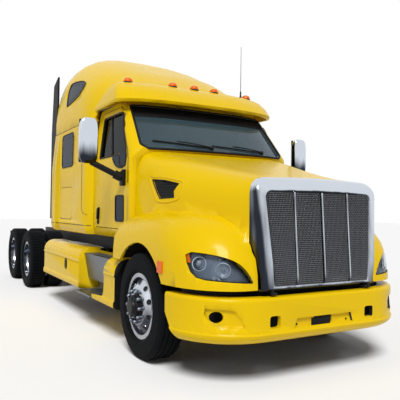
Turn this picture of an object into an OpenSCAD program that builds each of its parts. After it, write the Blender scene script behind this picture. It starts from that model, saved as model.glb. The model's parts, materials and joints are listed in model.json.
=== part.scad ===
// Long-nose highway tractor unit with a high-roof sleeper, tandem drive axles and a fifth wheel.
// +X points forward, +Y to the driver's left, +Z up. The origin is on the ground under the middle
// of the part's box. Lengthwise places are stations: distances ahead of the front axle.

/* [Overall] */
// Bumper face to front axle
front_overhang = 1270; // [1150:10:1400]
// Front axle to the middle of the tandem
wheelbase = 5760; // [5400:10:6600]
// Distance between the two drive axles
tandem_spread = 1320; // [1290:10:1400]
// Middle of the tandem to the back of the mud flaps
rear_overhang = 1300; // [1240:10:1500]

/* [Wheels] */
// Outer radius of every tyre
tyre_r = 500; // [490:1:525]
// Width of a tyre across its sidewalls
tyre_w = 283; // [260:1:295]
// Radius of the rim at the tyre's bead
rim_r = 286; // [280:1:292]
// Middle of the vehicle to the middle of a steered tyre
front_wheel_y = 1050; // [1030:1:1070]
// Middle of the vehicle to the middle of an outer drive tyre
rear_wheel_y = 1075; // [1060:1:1095]
// Distance between the two tyres of a twin
dual_spacing = 340; // [325:1:360]
// Radius of the bolt circle of the wheel nuts
bolt_circle_r = 143; // [135:1:150]
// Number of wheel nuts and of hand holes
wheel_bolts = 10; // [8:1:10]

/* [Steering] */
// Middle of the vehicle to a kingpin
kingpin_y = 890; // [870:1:905]
// Radius of a kingpin
kingpin_r = 24; // [20:1:28]
// Radius of the stub axle in its hub
stub_r = 46; // [40:1:52]
// Length of a steering arm behind its kingpin
arm_l = 190; // [170:1:220]
// Radial clearance of a pin that turns
pin_gap = 0.3; // [0.2:0.05:0.5]

/* [Frame] */
// Width over the two rails
frame_w = 864; // [820:2:880]
// Height of a rail
rail_h = 266; // [240:2:300]
// Width of a rail's flange
flange_w = 88; // [75:1:95]
// Thickness of a rail
rail_t = 10; // [8:1:12]
// Height of the rails' top above the ground
frame_top = 1010; // [1000:1:1030]

/* [Cab] */
// Half width of the cab at its waist
cab_half_w = 1062; // [1050:1:1070]
// Underside of the cab
cab_bottom = 1095; // [1085:1:1110]
// Thickness of walls, doors and floor
wall = 52; // [40:1:60]
// Height where the cab is widest
cab_waist = 1700; // [1600:5:1750]
// Height of the cowl where the windscreen starts to lean
cowl_z = 1960; // [1940:1:1980]
// Lower edge of the windscreen
screen_bottom = 2075; // [2065:1:2090]
// Lower edge of the sliding door windows
window_sill = 2040; // [2000:1:2080]
// Station of the firewall's face
cab_front = -535; // [-545:1:-532]
// Station of a door's front edge
door_front = -640; // [-650:1:-635]
// Station of a door's rear edge
door_rear = -1690; // [-1700:1:-1660]
// Gap round a door
door_gap = 8; // [6:0.5:12]
// Thickness of the glass
glass_t = 8; // [5:1:10]

/* [Sleeper] */
// Half width of the sleeper
sleeper_half_w = 1142; // [1130:1:1150]
// Station of the sleeper's back wall
sleeper_rear = -3390; // [-3500:5:-3300]
// Height of the seam under the roof
roof_seam = 2525; // [2515:1:2540]
// How far the rear collar stands out from the sleeper's sides
collar = 42; // [20:1:50]
// Top of the bunk's box
bunk_top = 1560; // [1500:5:1700]
// Top of the visor over the windscreen
visor_top = 2925; // [2900:1:2950]
// Height of the roof's highest point
roof_top = 3755; // [3600:5:3850]

/* [Hood] */
// Station of the hood's rear edge
hood_rear = -522; // [-524:1:-515]
// Height of the hood at the windscreen
cowl_top = 2062; // [2050:1:2070]
// Lower edge of hood and fenders
hood_bottom = 780; // [775:1:800]
// Thickness of the hood's skin
hood_t = 26; // [20:1:32]
// Half width over the fenders
fender_half_w = 1200; // [1190:1:1215]
// Radius of the front wheel arches
arch_r = 602; // [598:1:620]
// Station of the hood's hinge
hood_hinge_st = 1236; // [1232:1:1245]
// Height of the hood's hinge
hood_hinge_z = 752; // [748:1:756]

/* [Bumper] */
// Top of the bumper
bumper_top = 728; // [700:1:730]
// Bottom of the bumper
bumper_bottom = 362; // [340:1:400]
// Thickness of the bumper's wall
bumper_t = 40; // [25:1:50]

/* [Side fairings] */
// Top of the fairings
fairing_top = 925; // [900:1:940]
// Bottom of the fairings
fairing_bottom = 400; // [380:1:430]
// Outer face of the fairings
fairing_y = 1200; // [1190:1:1215]
// Station of the fairings' rear end
fairing_rear = -3760; // [-3850:5:-3700]

/* [Fifth wheel] */
// Height of the coupling plate
plate_top = 1235; // [1220:1:1260]
// Radius of the locked jaws round a kingpin
jaw_r = 25.6; // [25.5:0.1:26]

/* [Hidden] */
$fn = 48;
overall_l = front_overhang + wheelbase + rear_overhang;
front_axle_x = overall_l / 2 - front_overhang;
axle_z = tyre_r;
tandem_st = -wheelbase;
rear_axle_sts = [tandem_st + tandem_spread / 2, tandem_st - tandem_spread / 2];
rail_y = frame_w / 2;
rail_bottom = frame_top - rail_h;
slice = 0.1;
far = 6000;
body_yellow = "gold";

// Placing and shaping helpers

function st(d) = front_axle_x + d;

// Mirrors to the left what is modelled on the right, which is the -Y side
module both_sides() {
    children();
    mirror([0, 1, 0]) children();
}

// Side view outline, stations by heights, pushed out to the right from y0 to y1
module side_prism(points, y0, y1) {
    translate([st(0), -y0, 0]) rotate([90, 0, 0]) linear_extrude(y1 - y0) polygon(points);
}

// Front view outline, widths by heights, pushed forward from station d0 to d1
module front_prism(points, d0, d1) {
    translate([st(d0), 0, 0]) rotate([90, 0, 90]) linear_extrude(d1 - d0) polygon(points);
}

// Block between two stations, two widths and two heights
module block(d0, d1, y0, y1, z0, z1) {
    translate([st(d0), y0, z0]) cube([d1 - d0, y1 - y0, z1 - z0]);
}

// Cylinder across the vehicle
module cross_cylinder(r, d, z, y0, y1) {
    translate([st(d), y0, z]) rotate([-90, 0, 0]) cylinder(r = r, h = y1 - y0);
}

// Cylinder along the vehicle
module long_cylinder(r, d0, d1, y, z) {
    translate([st(d0), y, z]) rotate([0, 90, 0]) cylinder(r = r, h = d1 - d0);
}

// Rectangle with round corners, from one corner to the other
function round_rect(x0, y0, x1, y1, r, k = 4) = [
    for (c = [[x1 - r, y1 - r, 0], [x0 + r, y1 - r, 90], [x0 + r, y0 + r, 180], [x1 - r, y0 + r, 270]])
    for (i = [0 : k]) [c[0] + r * cos(c[2] + 90 * i / k), c[1] + r * sin(c[2] + 90 * i / k)]];

function signed_power(v, e) = sign(v) * pow(abs(v), e);

// Arched section: half width w, base z0, top z1, squareness n, from right foot over the top to the left
function arch_section(w, z0, z1, n, k = 22) = [
    for (i = [0 : k])
    let (a = 180 * i / k)
    [w * signed_power(cos(a), 2 / n), z0 + (z1 - z0) * signed_power(sin(a), 2 / n)]];

// Nose-shaped plan: rear edge, shoulder and tip stations, half width, flat half width of the nose
function nose_plan(rear, shoulder, tip, w, flat, n = 2.2, k = 9) = let (
    side = [for (i = [0 : k])
        let (a = 90 * i / k)
        [shoulder + (tip - shoulder) * signed_power(sin(a), 2 / n),
         flat + (w - flat) * signed_power(cos(a), 2 / n)]])
    concat([[rear, w]], side, [for (i = [k : -1 : 0]) [side[i][0], -side[i][1]]], [[rear, -w]]);

module cross_slice(d, points) {
    translate([st(d), 0, 0]) rotate([90, 0, 90]) linear_extrude(slice) polygon(points);
}

module level_slice(z, points) {
    translate([st(0), 0, z]) linear_extrude(slice) polygon(points);
}

// Wheels

bead_gap = 3;

// Tread and sidewall outline of a tyre, radius by width, turned about its axle
module tyre(y_mid) {
    bead_w = tyre_w * 0.37;
    shoulder = 26;
    crown = tyre_w * 0.42;
    outline = concat(
        [[rim_r, -bead_w], [rim_r + rim_lip + bead_gap, -bead_w]],
        [for (i = [0 : 6])
            let (a = -60 + 20 * i)
            [rim_r + (tyre_r - rim_r) * 0.5 + (tyre_r - rim_r) * 0.42 * sin(a),
             -tyre_w / 2 + (tyre_w / 2 - crown) * (1 - cos(a))]],
        [[tyre_r - shoulder / 3, -crown + 4], [tyre_r, -crown + shoulder]]);
    n = len(outline) - 1;
    translate([0, y_mid, 0]) rotate([-90, 0, 0]) rotate_extrude($fn = 96)
        polygon(concat(outline, [for (i = [n : -1 : 0]) [outline[i][0], -outline[i][1]]]));
}

rim_half = tyre_w * 0.37;
rim_wall = 14;
rim_lip = 24;
hand_hole_r = 27;

// Barrel and flanges of one rim, open in the middle
module rim_barrel(y_mid) {
    well = rim_r - 26;
    translate([0, y_mid, 0]) rotate([-90, 0, 0]) rotate_extrude($fn = 96) polygon([
        [rim_r - rim_wall, -rim_half - 10], [rim_r + rim_lip, -rim_half - 10], [rim_r + rim_lip, -rim_half - 1],
        [rim_r, -rim_half - 1], [rim_r, -rim_half + 40], [well + rim_wall, -rim_half + 70],
        [well + rim_wall, rim_half - 70], [rim_r, rim_half - 40], [rim_r, rim_half + 1],
        [rim_r + rim_lip, rim_half + 1], [rim_r + rim_lip, rim_half + 10], [rim_r - rim_wall, rim_half + 10],
        [rim_r - rim_wall, rim_half - 40], [well, rim_half - 70], [well, -rim_half + 70],
        [rim_r - rim_wall, -rim_half + 40]]);
}

disc_t = 22;

// Pressed disc with hand holes; face is the mounting plane, bulge the way from the barrel to it
module rim_disc(face, root, bore_r, outer) {
    inner = bolt_circle_r + 34;
    difference() {
        rotate([-90, 0, 0]) rotate_extrude($fn = 96) polygon([
            [bore_r, face - disc_t / 2], [inner, face - disc_t / 2], [outer, root - disc_t / 2],
            [outer, root + disc_t / 2], [inner, face + disc_t / 2], [bore_r, face + disc_t / 2]]);
        for (i = [0 : wheel_bolts - 1])
            rotate([0, (i + 0.5) * 360 / wheel_bolts, 0])
                translate([(inner + outer) / 2 + 4, 0, 0]) rotate([-90, 0, 0])
                    translate([0, 0, min(face, root) - 60]) cylinder(r = hand_hole_r, h = abs(face - root) + 120);
    }
}

// Wheel nuts on their circle, standing out from the disc by the given length
module wheel_nuts(y0, y1) {
    for (i = [0 : wheel_bolts - 1])
        rotate([0, i * 360 / wheel_bolts, 0]) translate([bolt_circle_r, 0, 0]) rotate([-90, 0, 0])
            translate([0, 0, min(y0, y1)]) cylinder(r = 16, h = abs(y1 - y0), $fn = 6);
}

hub_r = 112;
front_disc_inset = 36;

// Steered wheel: outward disc, hub with its bearing bore, cap and nuts; out is -1 right, +1 left
module front_rim(out) {
    face = out * (rim_half - front_disc_inset);
    color("silver") translate([st(0), out * front_wheel_y, axle_z]) {
        rim_barrel(0);
        rim_disc(face, out * (rim_half - 62), hub_r - 8, rim_r - 16);
        wheel_nuts(face, face + out * 50);
        difference() {
            union() {
                rotate([-90, 0, 0]) translate([0, 0, min(-out * 40, face + out * 30)])
                    cylinder(r = hub_r, h = abs(face + out * 70));
                rotate([-90, 0, 0]) translate([0, 0, min(face, face + out * 75)]) cylinder(r = 62, h = 75);
            }
            rotate([-90, 0, 0]) translate([0, 0, min(-out * 41, face + out * 20)])
                cylinder(r = stub_r + pin_gap, h = abs(face + out * 61));
        }
    }
}

axle_stub_r = 58;
hub_reach = 90;

// Twin drive wheels on one hub: the outer disc is dished inwards
module drive_rims(d, out) {
    outer_y = out * rear_wheel_y;
    inner_y = out * (rear_wheel_y - dual_spacing);
    mid = (outer_y + inner_y) / 2;
    color("silver") translate([st(d), 0, axle_z]) {
        rim_barrel(outer_y);
        rim_barrel(inner_y);
        rim_disc(mid + out * disc_t / 2, mid + out * 60, hub_r - 8, rim_r - 8);
        rim_disc(mid - out * disc_t / 2, mid - out * 60, hub_r - 8, rim_r - 8);
        wheel_nuts(mid, mid + out * 66);
        difference() {
            union() {
                rotate([-90, 0, 0]) translate([0, 0, min(mid - out * hub_reach, mid + out * hub_reach)])
                    cylinder(r = hub_r, h = 2 * hub_reach);
                rotate([-90, 0, 0]) translate([0, 0, min(mid, mid + out * 150)]) cylinder(r = 88, h = 150);
            }
            rotate([-90, 0, 0]) translate([0, 0, min(mid - out * (hub_reach + 1), mid + out * 60)])
                cylinder(r = axle_stub_r + pin_gap, h = hub_reach + 61);
        }
    }
}

module front_tyre(out) {
    color("dimgray") translate([st(0), 0, axle_z]) tyre(out * front_wheel_y);
}

module drive_tyres(d, out) {
    color("dimgray") translate([st(d), 0, axle_z]) {
        tyre(out * rear_wheel_y);
        tyre(out * (rear_wheel_y - dual_spacing));
    }
}

// Steering

ear_gap = 1;
boss_h = 90;
ear_h = 34;
arm_drop = 108;
arm_z = axle_z - arm_drop;
arm_pin_r = 16;
rod_r = 24;

// Knuckle: kingpin in the beam's boss, two ears, stub axle out to the hub and arm back to the tie rod
module knuckle(out) {
    boss_top = axle_z + boss_h / 2;
    color("dimgray") {
        translate([st(0), out * kingpin_y, axle_z - boss_h / 2 - ear_gap - ear_h])
            cylinder(r = kingpin_r, h = boss_h + 2 * ear_gap + 2 * ear_h);
        for (z = [boss_top + ear_gap, axle_z - boss_h / 2 - ear_gap - ear_h])
            translate([st(0), out * kingpin_y, z]) cylinder(r = 52, h = ear_h);
        difference() {
            block(-46, 46, min(out * kingpin_y, out * (kingpin_y + 96)), max(out * kingpin_y, out * (kingpin_y + 96)),
                axle_z - boss_h / 2 - ear_gap - ear_h, boss_top + ear_gap + ear_h);
            translate([st(0), out * kingpin_y, axle_z - boss_h / 2 - ear_gap])
                cylinder(r = 62, h = boss_h + 2 * ear_gap);
        }
        translate([st(0), out * (kingpin_y + 60), axle_z]) rotate([-out * 90, 0, 0])
            cylinder(r = stub_r, h = front_wheel_y - kingpin_y + rim_half - front_disc_inset + 18 - 60);
        block(-arm_l, 0, min(out * (kingpin_y - 18), out * (kingpin_y + 18)),
            max(out * (kingpin_y - 18), out * (kingpin_y + 18)),
            axle_z - boss_h / 2 - ear_gap - ear_h, axle_z - boss_h / 2 - ear_gap);
        translate([st(-arm_l), out * kingpin_y, arm_z - rod_r]) cylinder(r = arm_pin_r, h = arm_drop - boss_h / 2 + rod_r - 2);
        translate([st(-arm_l), out * kingpin_y, axle_z - boss_h / 2 - ear_gap - ear_h]) cylinder(r = 30, h = ear_h);
    }
}

// Tie rod between the two arms, with an eye round each arm's pin
module tie_rod() {
    eye_top = axle_z - boss_h / 2 - ear_gap - ear_h - 2;
    color("dimgray") difference() {
        union() {
            cross_cylinder(rod_r, -arm_l, arm_z, -kingpin_y + 20, kingpin_y - 20);
            for (s = [-1, 1])
                translate([st(-arm_l), s * kingpin_y, arm_z - rod_r - 6]) cylinder(r = 34, h = eye_top - arm_z + rod_r + 6);
        }
        for (s = [-1, 1])
            translate([st(-arm_l), s * kingpin_y, arm_z - rod_r - 7])
                cylinder(r = arm_pin_r + pin_gap, h = eye_top - arm_z + rod_r + 8);
    }
}

// Chassis

front_rail_end = front_overhang - 215;
rear_rail_end = tandem_st - rear_overhang + 90;

hinge_st = 1236;
hinge_y = 500;
hinge_r = 8;
hinge_z = rail_bottom + 8;

// Two channel rails, their crossmembers and the pins that carry the hood
module frame() {
    color("black") {
        both_sides() difference() {
            block(rear_rail_end, front_rail_end, -rail_y, -rail_y + flange_w, rail_bottom, frame_top);
            block(rear_rail_end - 1, front_rail_end + 1, -rail_y + rail_t, -rail_y + flange_w + 1,
                rail_bottom + rail_t, frame_top - rail_t);
        }
        block(front_rail_end - 55, front_rail_end - 5, -hinge_y - 20, hinge_y + 20, rail_bottom, rail_bottom + 20);
        both_sides() {
            block(front_rail_end - 55, hinge_st + 4, -hinge_y - 20, -hinge_y, rail_bottom - 6, hinge_z + 8);
            cross_cylinder(hinge_r, hinge_st, hinge_z, -hinge_y - 58, -hinge_y);
        }
        for (d = [front_rail_end - 42, -1450, -2700, rear_axle_sts[0] + 560, tandem_st, rear_rail_end + 40])
            block(d - 40, d + 40, -rail_y + rail_t, rail_y - rail_t, rail_bottom + 30, frame_top - 30);
    }
}

engine_front = 700;
dam_st = front_rail_end - 50;
dam_half_w = 1000;

// Black panel and shelf that close the space behind the bumper
module air_dam() {
    color("black") difference() {
        union() {
            block(dam_st, dam_st + 18, -dam_half_w, dam_half_w, bumper_bottom + 60, bumper_top - 50);
            block(dam_st, dam_st + 18, -dam_half_w + 130, dam_half_w - 130, bumper_bottom + 60, rail_bottom - 8);
            intersection() {
                bumper_solid(bumper_t + 8);
                block(engine_front + 20, front_overhang, -far, far, bumper_top - 60, bumper_top - 48);
            }
        }
        both_sides() block(engine_front, front_overhang, -rail_y - pin_gap, -rail_y + flange_w + pin_gap,
            rail_bottom - 180 - pin_gap, rail_bottom + 1);
    }
}

engine_rear = -420;
gearbox_rear = -1250;
shaft_r = 62;
shaft_z = 660;
pinion_l = 262;
output_l = 300;

// Engine as one plain block with its gearbox, propeller shaft and radiator
module powertrain() {
    inner = rail_y - flange_w - 20;
    color("gray") {
        block(engine_rear, engine_front, -inner, inner, 640, frame_top + 8);
        block(engine_rear, engine_front, -inner - 70, inner + 70, frame_top + 8, 1480);
        block(gearbox_rear, engine_rear, -230, 230, 600, 1000);
        long_cylinder(shaft_r, rear_axle_sts[0] + pinion_l, gearbox_rear, 0, shaft_z);
        long_cylinder(shaft_r * 0.8, rear_axle_sts[1] + pinion_l, rear_axle_sts[0] - output_l, 0, shaft_z);
        block(830, 960, -470, 470, frame_top, 1540);
        block(830, 960, -rail_y + flange_w + 10, rail_y - flange_w - 10, 800, frame_top + 1);
        for (s = [-1, 1]) block(engine_front, 830, s * 200 - 40, s * 200 + 40, 860, 940);
    }
}

spring_y = rail_y - flange_w / 2;
spring_w = 80;

// Dropped I-beam with a boss at each end for the kingpin
module front_axle() {
    color("black") difference() {
        union() {
            block(-45, 45, -kingpin_y + 189, kingpin_y - 189, axle_z - 95, axle_z + 15);
            both_sides() {
                front_prism([[-kingpin_y - 20, axle_z - boss_h / 2], [-kingpin_y + 64, axle_z - boss_h / 2],
                    [-kingpin_y + 190, axle_z - 95], [-kingpin_y + 190, axle_z + 15],
                    [-kingpin_y + 64, axle_z + boss_h / 2], [-kingpin_y - 20, axle_z + boss_h / 2]], -45, 45);
                translate([st(0), -kingpin_y, axle_z - boss_h / 2]) cylinder(r = 52, h = boss_h);
            }
        }
        both_sides() {
            translate([st(0), -kingpin_y, axle_z - boss_h]) cylinder(r = kingpin_r + pin_gap, h = 2 * boss_h);
            for (s = [-1, 1])
                block(s > 0 ? 14 : -46, s > 0 ? 46 : -14, -kingpin_y + 200, kingpin_y - 200, axle_z - 70, axle_z - 10);
        }
    }
}

// Rear axle casing: tubes, ball-shaped differential and the stubs that carry the hubs
module rear_axles() {
    flange_y = rear_wheel_y - dual_spacing / 2 - hub_reach - 1;
    color("black") for (d = rear_axle_sts) {
        cross_cylinder(78, d, axle_z, -flange_y, flange_y);
        cross_cylinder(axle_stub_r, d, axle_z, -flange_y - hub_reach - 55, flange_y + hub_reach + 55);
        translate([st(d), 0, axle_z]) sphere(r = 225);
        long_cylinder(76, d, d + pinion_l, 0, shaft_z);
        if (d == rear_axle_sts[0]) long_cylinder(64, d - output_l, d, 0, shaft_z);
    }
}

// Front leaf springs on the beam, rear trailing beams with their air springs under the rails
module suspension() {
    color("black") both_sides() {
        side_prism([[-620, 700], [-560, 640], [-120, axle_z + 15], [120, axle_z + 15], [560, 640], [620, 700],
            [590, 720], [540, 676], [120, 570], [-120, 570], [-540, 676], [-590, 720]],
            spring_y - spring_w / 2, spring_y + spring_w / 2);
        for (d = [-600, 600])
            block(d - 40, d + 40, -spring_y - spring_w / 2, -spring_y + spring_w / 2, 705, rail_bottom);
        for (d = rear_axle_sts) {
            block(d - 420, d + 520, -spring_y - 45, -spring_y + 45, axle_z + 78, axle_z + 150);
            translate([st(d - 330), -spring_y, axle_z + 150]) cylinder(r = 120, h = rail_bottom - axle_z - 150);
            block(d + 440, d + 520, -spring_y - 45, -spring_y + 45, axle_z + 150, rail_bottom);
        }
    }
}

tank_r = 258;
tank_y = 780;
tank_z = 640;

// Round fuel tank on each side, hung on the rail behind the fairing
module fuel_tanks() {
    color("silver") both_sides() {
        long_cylinder(tank_r, fairing_rear + 260, step_rear - 90, -tank_y, tank_z);
        for (d = [fairing_rear + 510, step_rear - 390])
            block(d - 40, d + 40, -tank_y, -rail_y, rail_bottom + 20, rail_bottom + 100);
    }
}

fairing_t = 24;
step_rear = -1900;
step_front = -960;
toe_l = 385;
toe_h = 240;
foot_sink = 48;
foot = fairing_bottom - foot_sink;
fairing_front = -622;
well_y = 930;
front_drop = 42;
upper_tread = fairing_top - 70;
tread_t = 26;

// Outline of a fairing in front view: rolled lower lip, side with a bead, round upper edge
function fairing_section(inset, drop, low) = let (r = 150 - inset, y = fairing_y - inset, top = fairing_top - drop - inset)
    concat([[-y + 40, low - (inset > 0 ? 5 : 0)], [-y + 4, low + 22], [-y, low + 40], [-y, low + 70], [-y + 14, low + 100],
        [-y + 14, top - 190 + inset], [-y + 5, top - 182 + inset], [-y + 5, top - 168 + inset], [-y + 10, top - 160 + inset]],
        [for (i = [0 : 6]) [-y + 10 + r - r * cos(15 * i), top - r + r * sin(15 * i)]],
        [[-well_y + 25 + (inset > 0 ? 5 : 0), top], [-well_y + 25 + (inset > 0 ? 5 : 0), low - (inset > 0 ? 5 : 0)]]);

module fairing_piece(rear, front, drop, low) {
    difference() {
        front_prism(fairing_section(0, drop, low), rear, front);
        front_prism(fairing_section(fairing_t, drop, low), rear + fairing_t, front - fairing_t);
    }
}

// Curved toe of the front cover, which runs back along the lower step
module fairing_toe() {
    intersection() {
        difference() {
            front_prism(fairing_section(0, front_drop, foot), step_front - toe_l, step_front + 1);
            front_prism(fairing_section(fairing_t, front_drop, foot), step_front - toe_l - 1, step_front + 2);
        }
        side_prism([[step_front + 1, foot], [step_front + 1, foot + toe_h], [step_front - 0.03 * toe_l, foot + 0.62 * toe_h],
            [step_front - 0.09 * toe_l, foot + 0.42 * toe_h], [step_front - 0.2 * toe_l, foot + 0.36 * toe_h],
            [step_front - 0.6 * toe_l, foot + 0.32 * toe_h], [step_front - toe_l, foot + 0.28 * toe_h],
            [step_front - toe_l, foot]], well_y, fairing_y + 10);
    }
}

// Skirt from the front wheel to the drive wheels, with the step well between its two covers
module side_fairings() {
    color(body_yellow) both_sides() {
        fairing_piece(fairing_rear, step_rear, 0, fairing_bottom);
        fairing_piece(step_front, fairing_front, front_drop, foot);
        fairing_toe();
        block(step_rear - 1, step_front + 1, -well_y, -well_y + 25, foot, fairing_top - front_drop);
        block(step_rear - 1, step_front + 1, -fairing_y + 60, -well_y + 1, foot, foot + 16);
        for (d = [fairing_rear + 30, step_rear - 30, fairing_front - 30])
            block(d - 15, d + 15, -fairing_y + fairing_t + 60, -rail_y, rail_bottom + 40, rail_bottom + 110);
    }
}

// Aluminium treads and kick plates in the step wells
module steps() {
    color("silver") both_sides() {
        block(step_rear, step_front - toe_l, -fairing_y - 20, -well_y, foot + 16, foot + 16 + tread_t);
        block(step_front - toe_l - 1, step_front, -fairing_y + 75, -well_y, foot + 16, foot + 16 + tread_t);
        block(step_rear, step_front, -fairing_y + 80, -well_y, upper_tread - tread_t, upper_tread);
        front_prism([[-fairing_y + 80, upper_tread - tread_t], [-fairing_y + 100, upper_tread - tread_t],
            [-well_y - 120, fairing_bottom + 150], [-well_y, fairing_bottom + 150], [-well_y, fairing_bottom + 140],
            [-well_y - 136, fairing_bottom + 140]],
            step_rear + 20, step_front - 20);
    }
}

bumper_shoulder = 560;
bumper_flat = 560;
bumper_lip = 90;

// Level outlines of the bumper's rolled lip and of its face: height and how far the outline is drawn in there
lip_rows = [[bumper_bottom, 70], [bumper_bottom + 22, 34], [bumper_bottom + 52, 8], [bumper_bottom + 72, 0],
    [bumper_bottom + 84, 4], [bumper_bottom + 93, 18]];
face_rows = [[bumper_bottom + 40, 15], [bumper_bottom + 160, 13], [bumper_top - 30, 10], [bumper_top - 12, 14], [bumper_top, 30]];

module bumper_chain(rows) {
    for (i = [0 : len(rows) - 2]) hull() for (j = [i, i + 1])
        level_slice(rows[j][0], nose_plan(bumper_shoulder - 200, bumper_shoulder, front_overhang - rows[j][1],
            fender_half_w + 14 - rows[j][1] * 0.6, bumper_flat));
}

// Bumper's outer form drawn in by the inset; the hollow's form also stops short of the top
module bumper_solid(inset) {
    bumper_chain([for (r = lip_rows) [r[0] - (inset > 0 && r[0] == bumper_bottom ? 30 : 0), r[1] + inset]]);
    bumper_chain([for (r = face_rows) [r[0] - (inset >= bumper_t && r[0] > bumper_top - 40 ? inset : 0), r[1] + inset]]);
}

fog_y = 978;
fog_z = bumper_bottom + 213;
tow_y = 527;
pocket_t = 26;

// Shallow pockets in the bumper's face, in front view
fog_pocket = [[-1056, fog_z + 67], [-935, fog_z + 67], [-862, fog_z + 57], [-816, fog_z - 9], [-790, fog_z - 77],
    [-887, fog_z - 80], [-954, fog_z - 78], [-1020, fog_z - 56], [-1062, fog_z + 20]];
plate_pocket = [[-330, bumper_bottom + 100], [330, bumper_bottom + 100], [302, bumper_bottom + 180], [-302, bumper_bottom + 180]];

// Moulded bumper, open at the back, with fog lamp, towing and number plate openings
module bumper() {
    color(body_yellow) difference() {
        union() {
            difference() {
                bumper_solid(0);
                bumper_solid(bumper_t);
                translate([st(0), 0, bumper_bottom + 100]) linear_extrude(bumper_top)
                    polygon(nose_plan(bumper_shoulder - 201, bumper_shoulder - bumper_lip, front_overhang - bumper_lip,
                        fender_half_w - bumper_lip, bumper_flat - bumper_lip));
                both_sides() side_prism([[0, bumper_top + 10], [arch_r + 20, bumper_top + 10], [arch_r + 20, 560],
                    [arch_r + 170, bumper_bottom - 10], [0, bumper_bottom - 10]], 0, fender_half_w + 60);
            }
            both_sides() {
                block(front_rail_end - 260, front_overhang - bumper_t + 8, -rail_y, -rail_y + flange_w,
                    rail_bottom - 180, rail_bottom - 90);
                block(front_rail_end - 260, front_rail_end - 120, -rail_y, -rail_y + flange_w, rail_bottom - 91, rail_bottom);
            }
        }
        both_sides() {
            translate([st(900), -fog_y, fog_z]) rotate([0, 90, 0]) cylinder(r = 46, h = 400, $fn = 32);
            front_prism(round_rect(-tow_y - 53, fog_z - 93, -tow_y + 53, fog_z + 4, 22), front_overhang - 120, front_overhang + 20);
        }
        front_prism(round_rect(-105, bumper_bottom + 106, 105, bumper_bottom + 172, 10), front_overhang - 120, front_overhang + 20);
        difference() {
            union() {
                both_sides() front_prism(fog_pocket, 900, front_overhang + 20);
                front_prism(plate_pocket, 900, front_overhang + 20);
            }
            bumper_solid(pocket_t);
        }
    }
}

// Cab

// Level outlines of the cab: height, tip station, shoulder station, half width, flat half width
cab_rows = [
    [cab_bottom, cab_front, cab_front - 40, cab_half_w - 30, cab_half_w - 120],
    [cab_bottom + 90, cab_front, cab_front - 40, cab_half_w - 6, cab_half_w - 100],
    [cab_waist, cab_front, cab_front - 40, cab_half_w, cab_half_w - 100],
    [cowl_z, cab_front, cab_front - 60, cab_half_w - 4, 560],
    [screen_bottom, cab_front + 135, cab_front - 105, cab_half_w - 14, 200],
    [(screen_bottom + roof_seam + 100) / 2, cab_front - 111, cab_front - 329, cab_half_w - 44, 200],
    [roof_seam + 60, cab_front - 325, cab_front - 525, cab_half_w - 74, 200],
    [roof_seam + 125, cab_front - 385, cab_front - 585, cab_half_w - 92, 200]];
cab_rear = door_rear - 70;
floor_t = wall;

module cab_solid(inset) {
    last = len(cab_rows) - 1;
    for (i = [0 : last - 1]) hull() for (j = [i, i + 1]) {
        row = cab_rows[j];
        z = row[0] + (inset > 0 && j == 0 ? floor_t : 0) + (inset > 0 && j == last ? 1 : 0);
        level_slice(z, nose_plan(cab_rear - 5, row[2] - inset, row[1] - inset,
            row[3] - inset, row[4] - inset, 2));
    }
}

cab_top = roof_seam + 125;
door_top = roof_seam + 62;
door_bottom = cab_bottom + 105;
door_depth = 145;

// Door outline in side view; grow widens it for the opening
function door_outline(grow) = let (g = grow) [
    [door_front + g, door_bottom - g], [door_front + g, cowl_z], [door_front - 330 + g, door_top - 40],
    [door_front - 400 + g, door_top + g], [door_rear + 60 - g, door_top + g], [door_rear - g, door_top - 60],
    [door_rear - g, door_bottom + 60], [door_rear + 60 - g, door_bottom - g]];

// Door window outline, with its small fixed pane ahead of the sliding one
function window_outline(grow) = let (g = grow) [
    [door_front - 60 + g, window_sill - 140 - g], [door_front - 40 + g, window_sill - 50], [door_front - 330 + g, door_top - 75 + g],
    [door_rear + 140 - g, door_top - 75 + g], [door_rear + 140 - g, window_sill - g],
    [door_front - 260 - g, window_sill - g], [door_front - 200, window_sill - 140 - g]];

// Look-down window low in the passenger's door
function look_down_outline(grow) = round_rect(door_front - 330 - grow, 1290 - grow, door_front - 90 + grow, 1560 + grow, 30, 3);

// Windscreen outline in front view
function screen_outline(grow) = let (w = cab_half_w - 130 + grow) [
    [-w + 60, screen_bottom + 4 - grow], [w - 60, screen_bottom + 4 - grow], [w, screen_bottom + 45],
    [w - 46, roof_seam + 80 + grow], [-w + 46, roof_seam + 80 + grow], [-w, screen_bottom + 45]];

// Firewall, pillars, door frames and roof rail
module cab_shell() {
    color(body_yellow) difference() {
        cab_solid(0);
        cab_solid(wall);
        both_sides() side_prism(door_outline(door_gap), cab_half_w - door_depth, cab_half_w + 50);
        front_prism(screen_outline(0), cab_front - 700, cab_front + 200);
        block(cab_rear - 10, cab_rear, -far, far, 0, far);
        block(cab_rear - 10, 0, -far, far, cab_top, far);
    }
}

floor_half_w = min(cab_half_w, sleeper_half_w) - wall;

// Front and top boards of the box under the bunk
module bunk_box() {
    color("dimgray") {
        block(bunk_front - board_t, bunk_front, -sleeper_half_w + wall, sleeper_half_w - wall, cab_bottom + wall, bunk_top);
        block(sleeper_rear + wall, bunk_front - 1, -sleeper_half_w + wall, sleeper_half_w - wall, bunk_top - board_t, bunk_top);
    }
}

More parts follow.
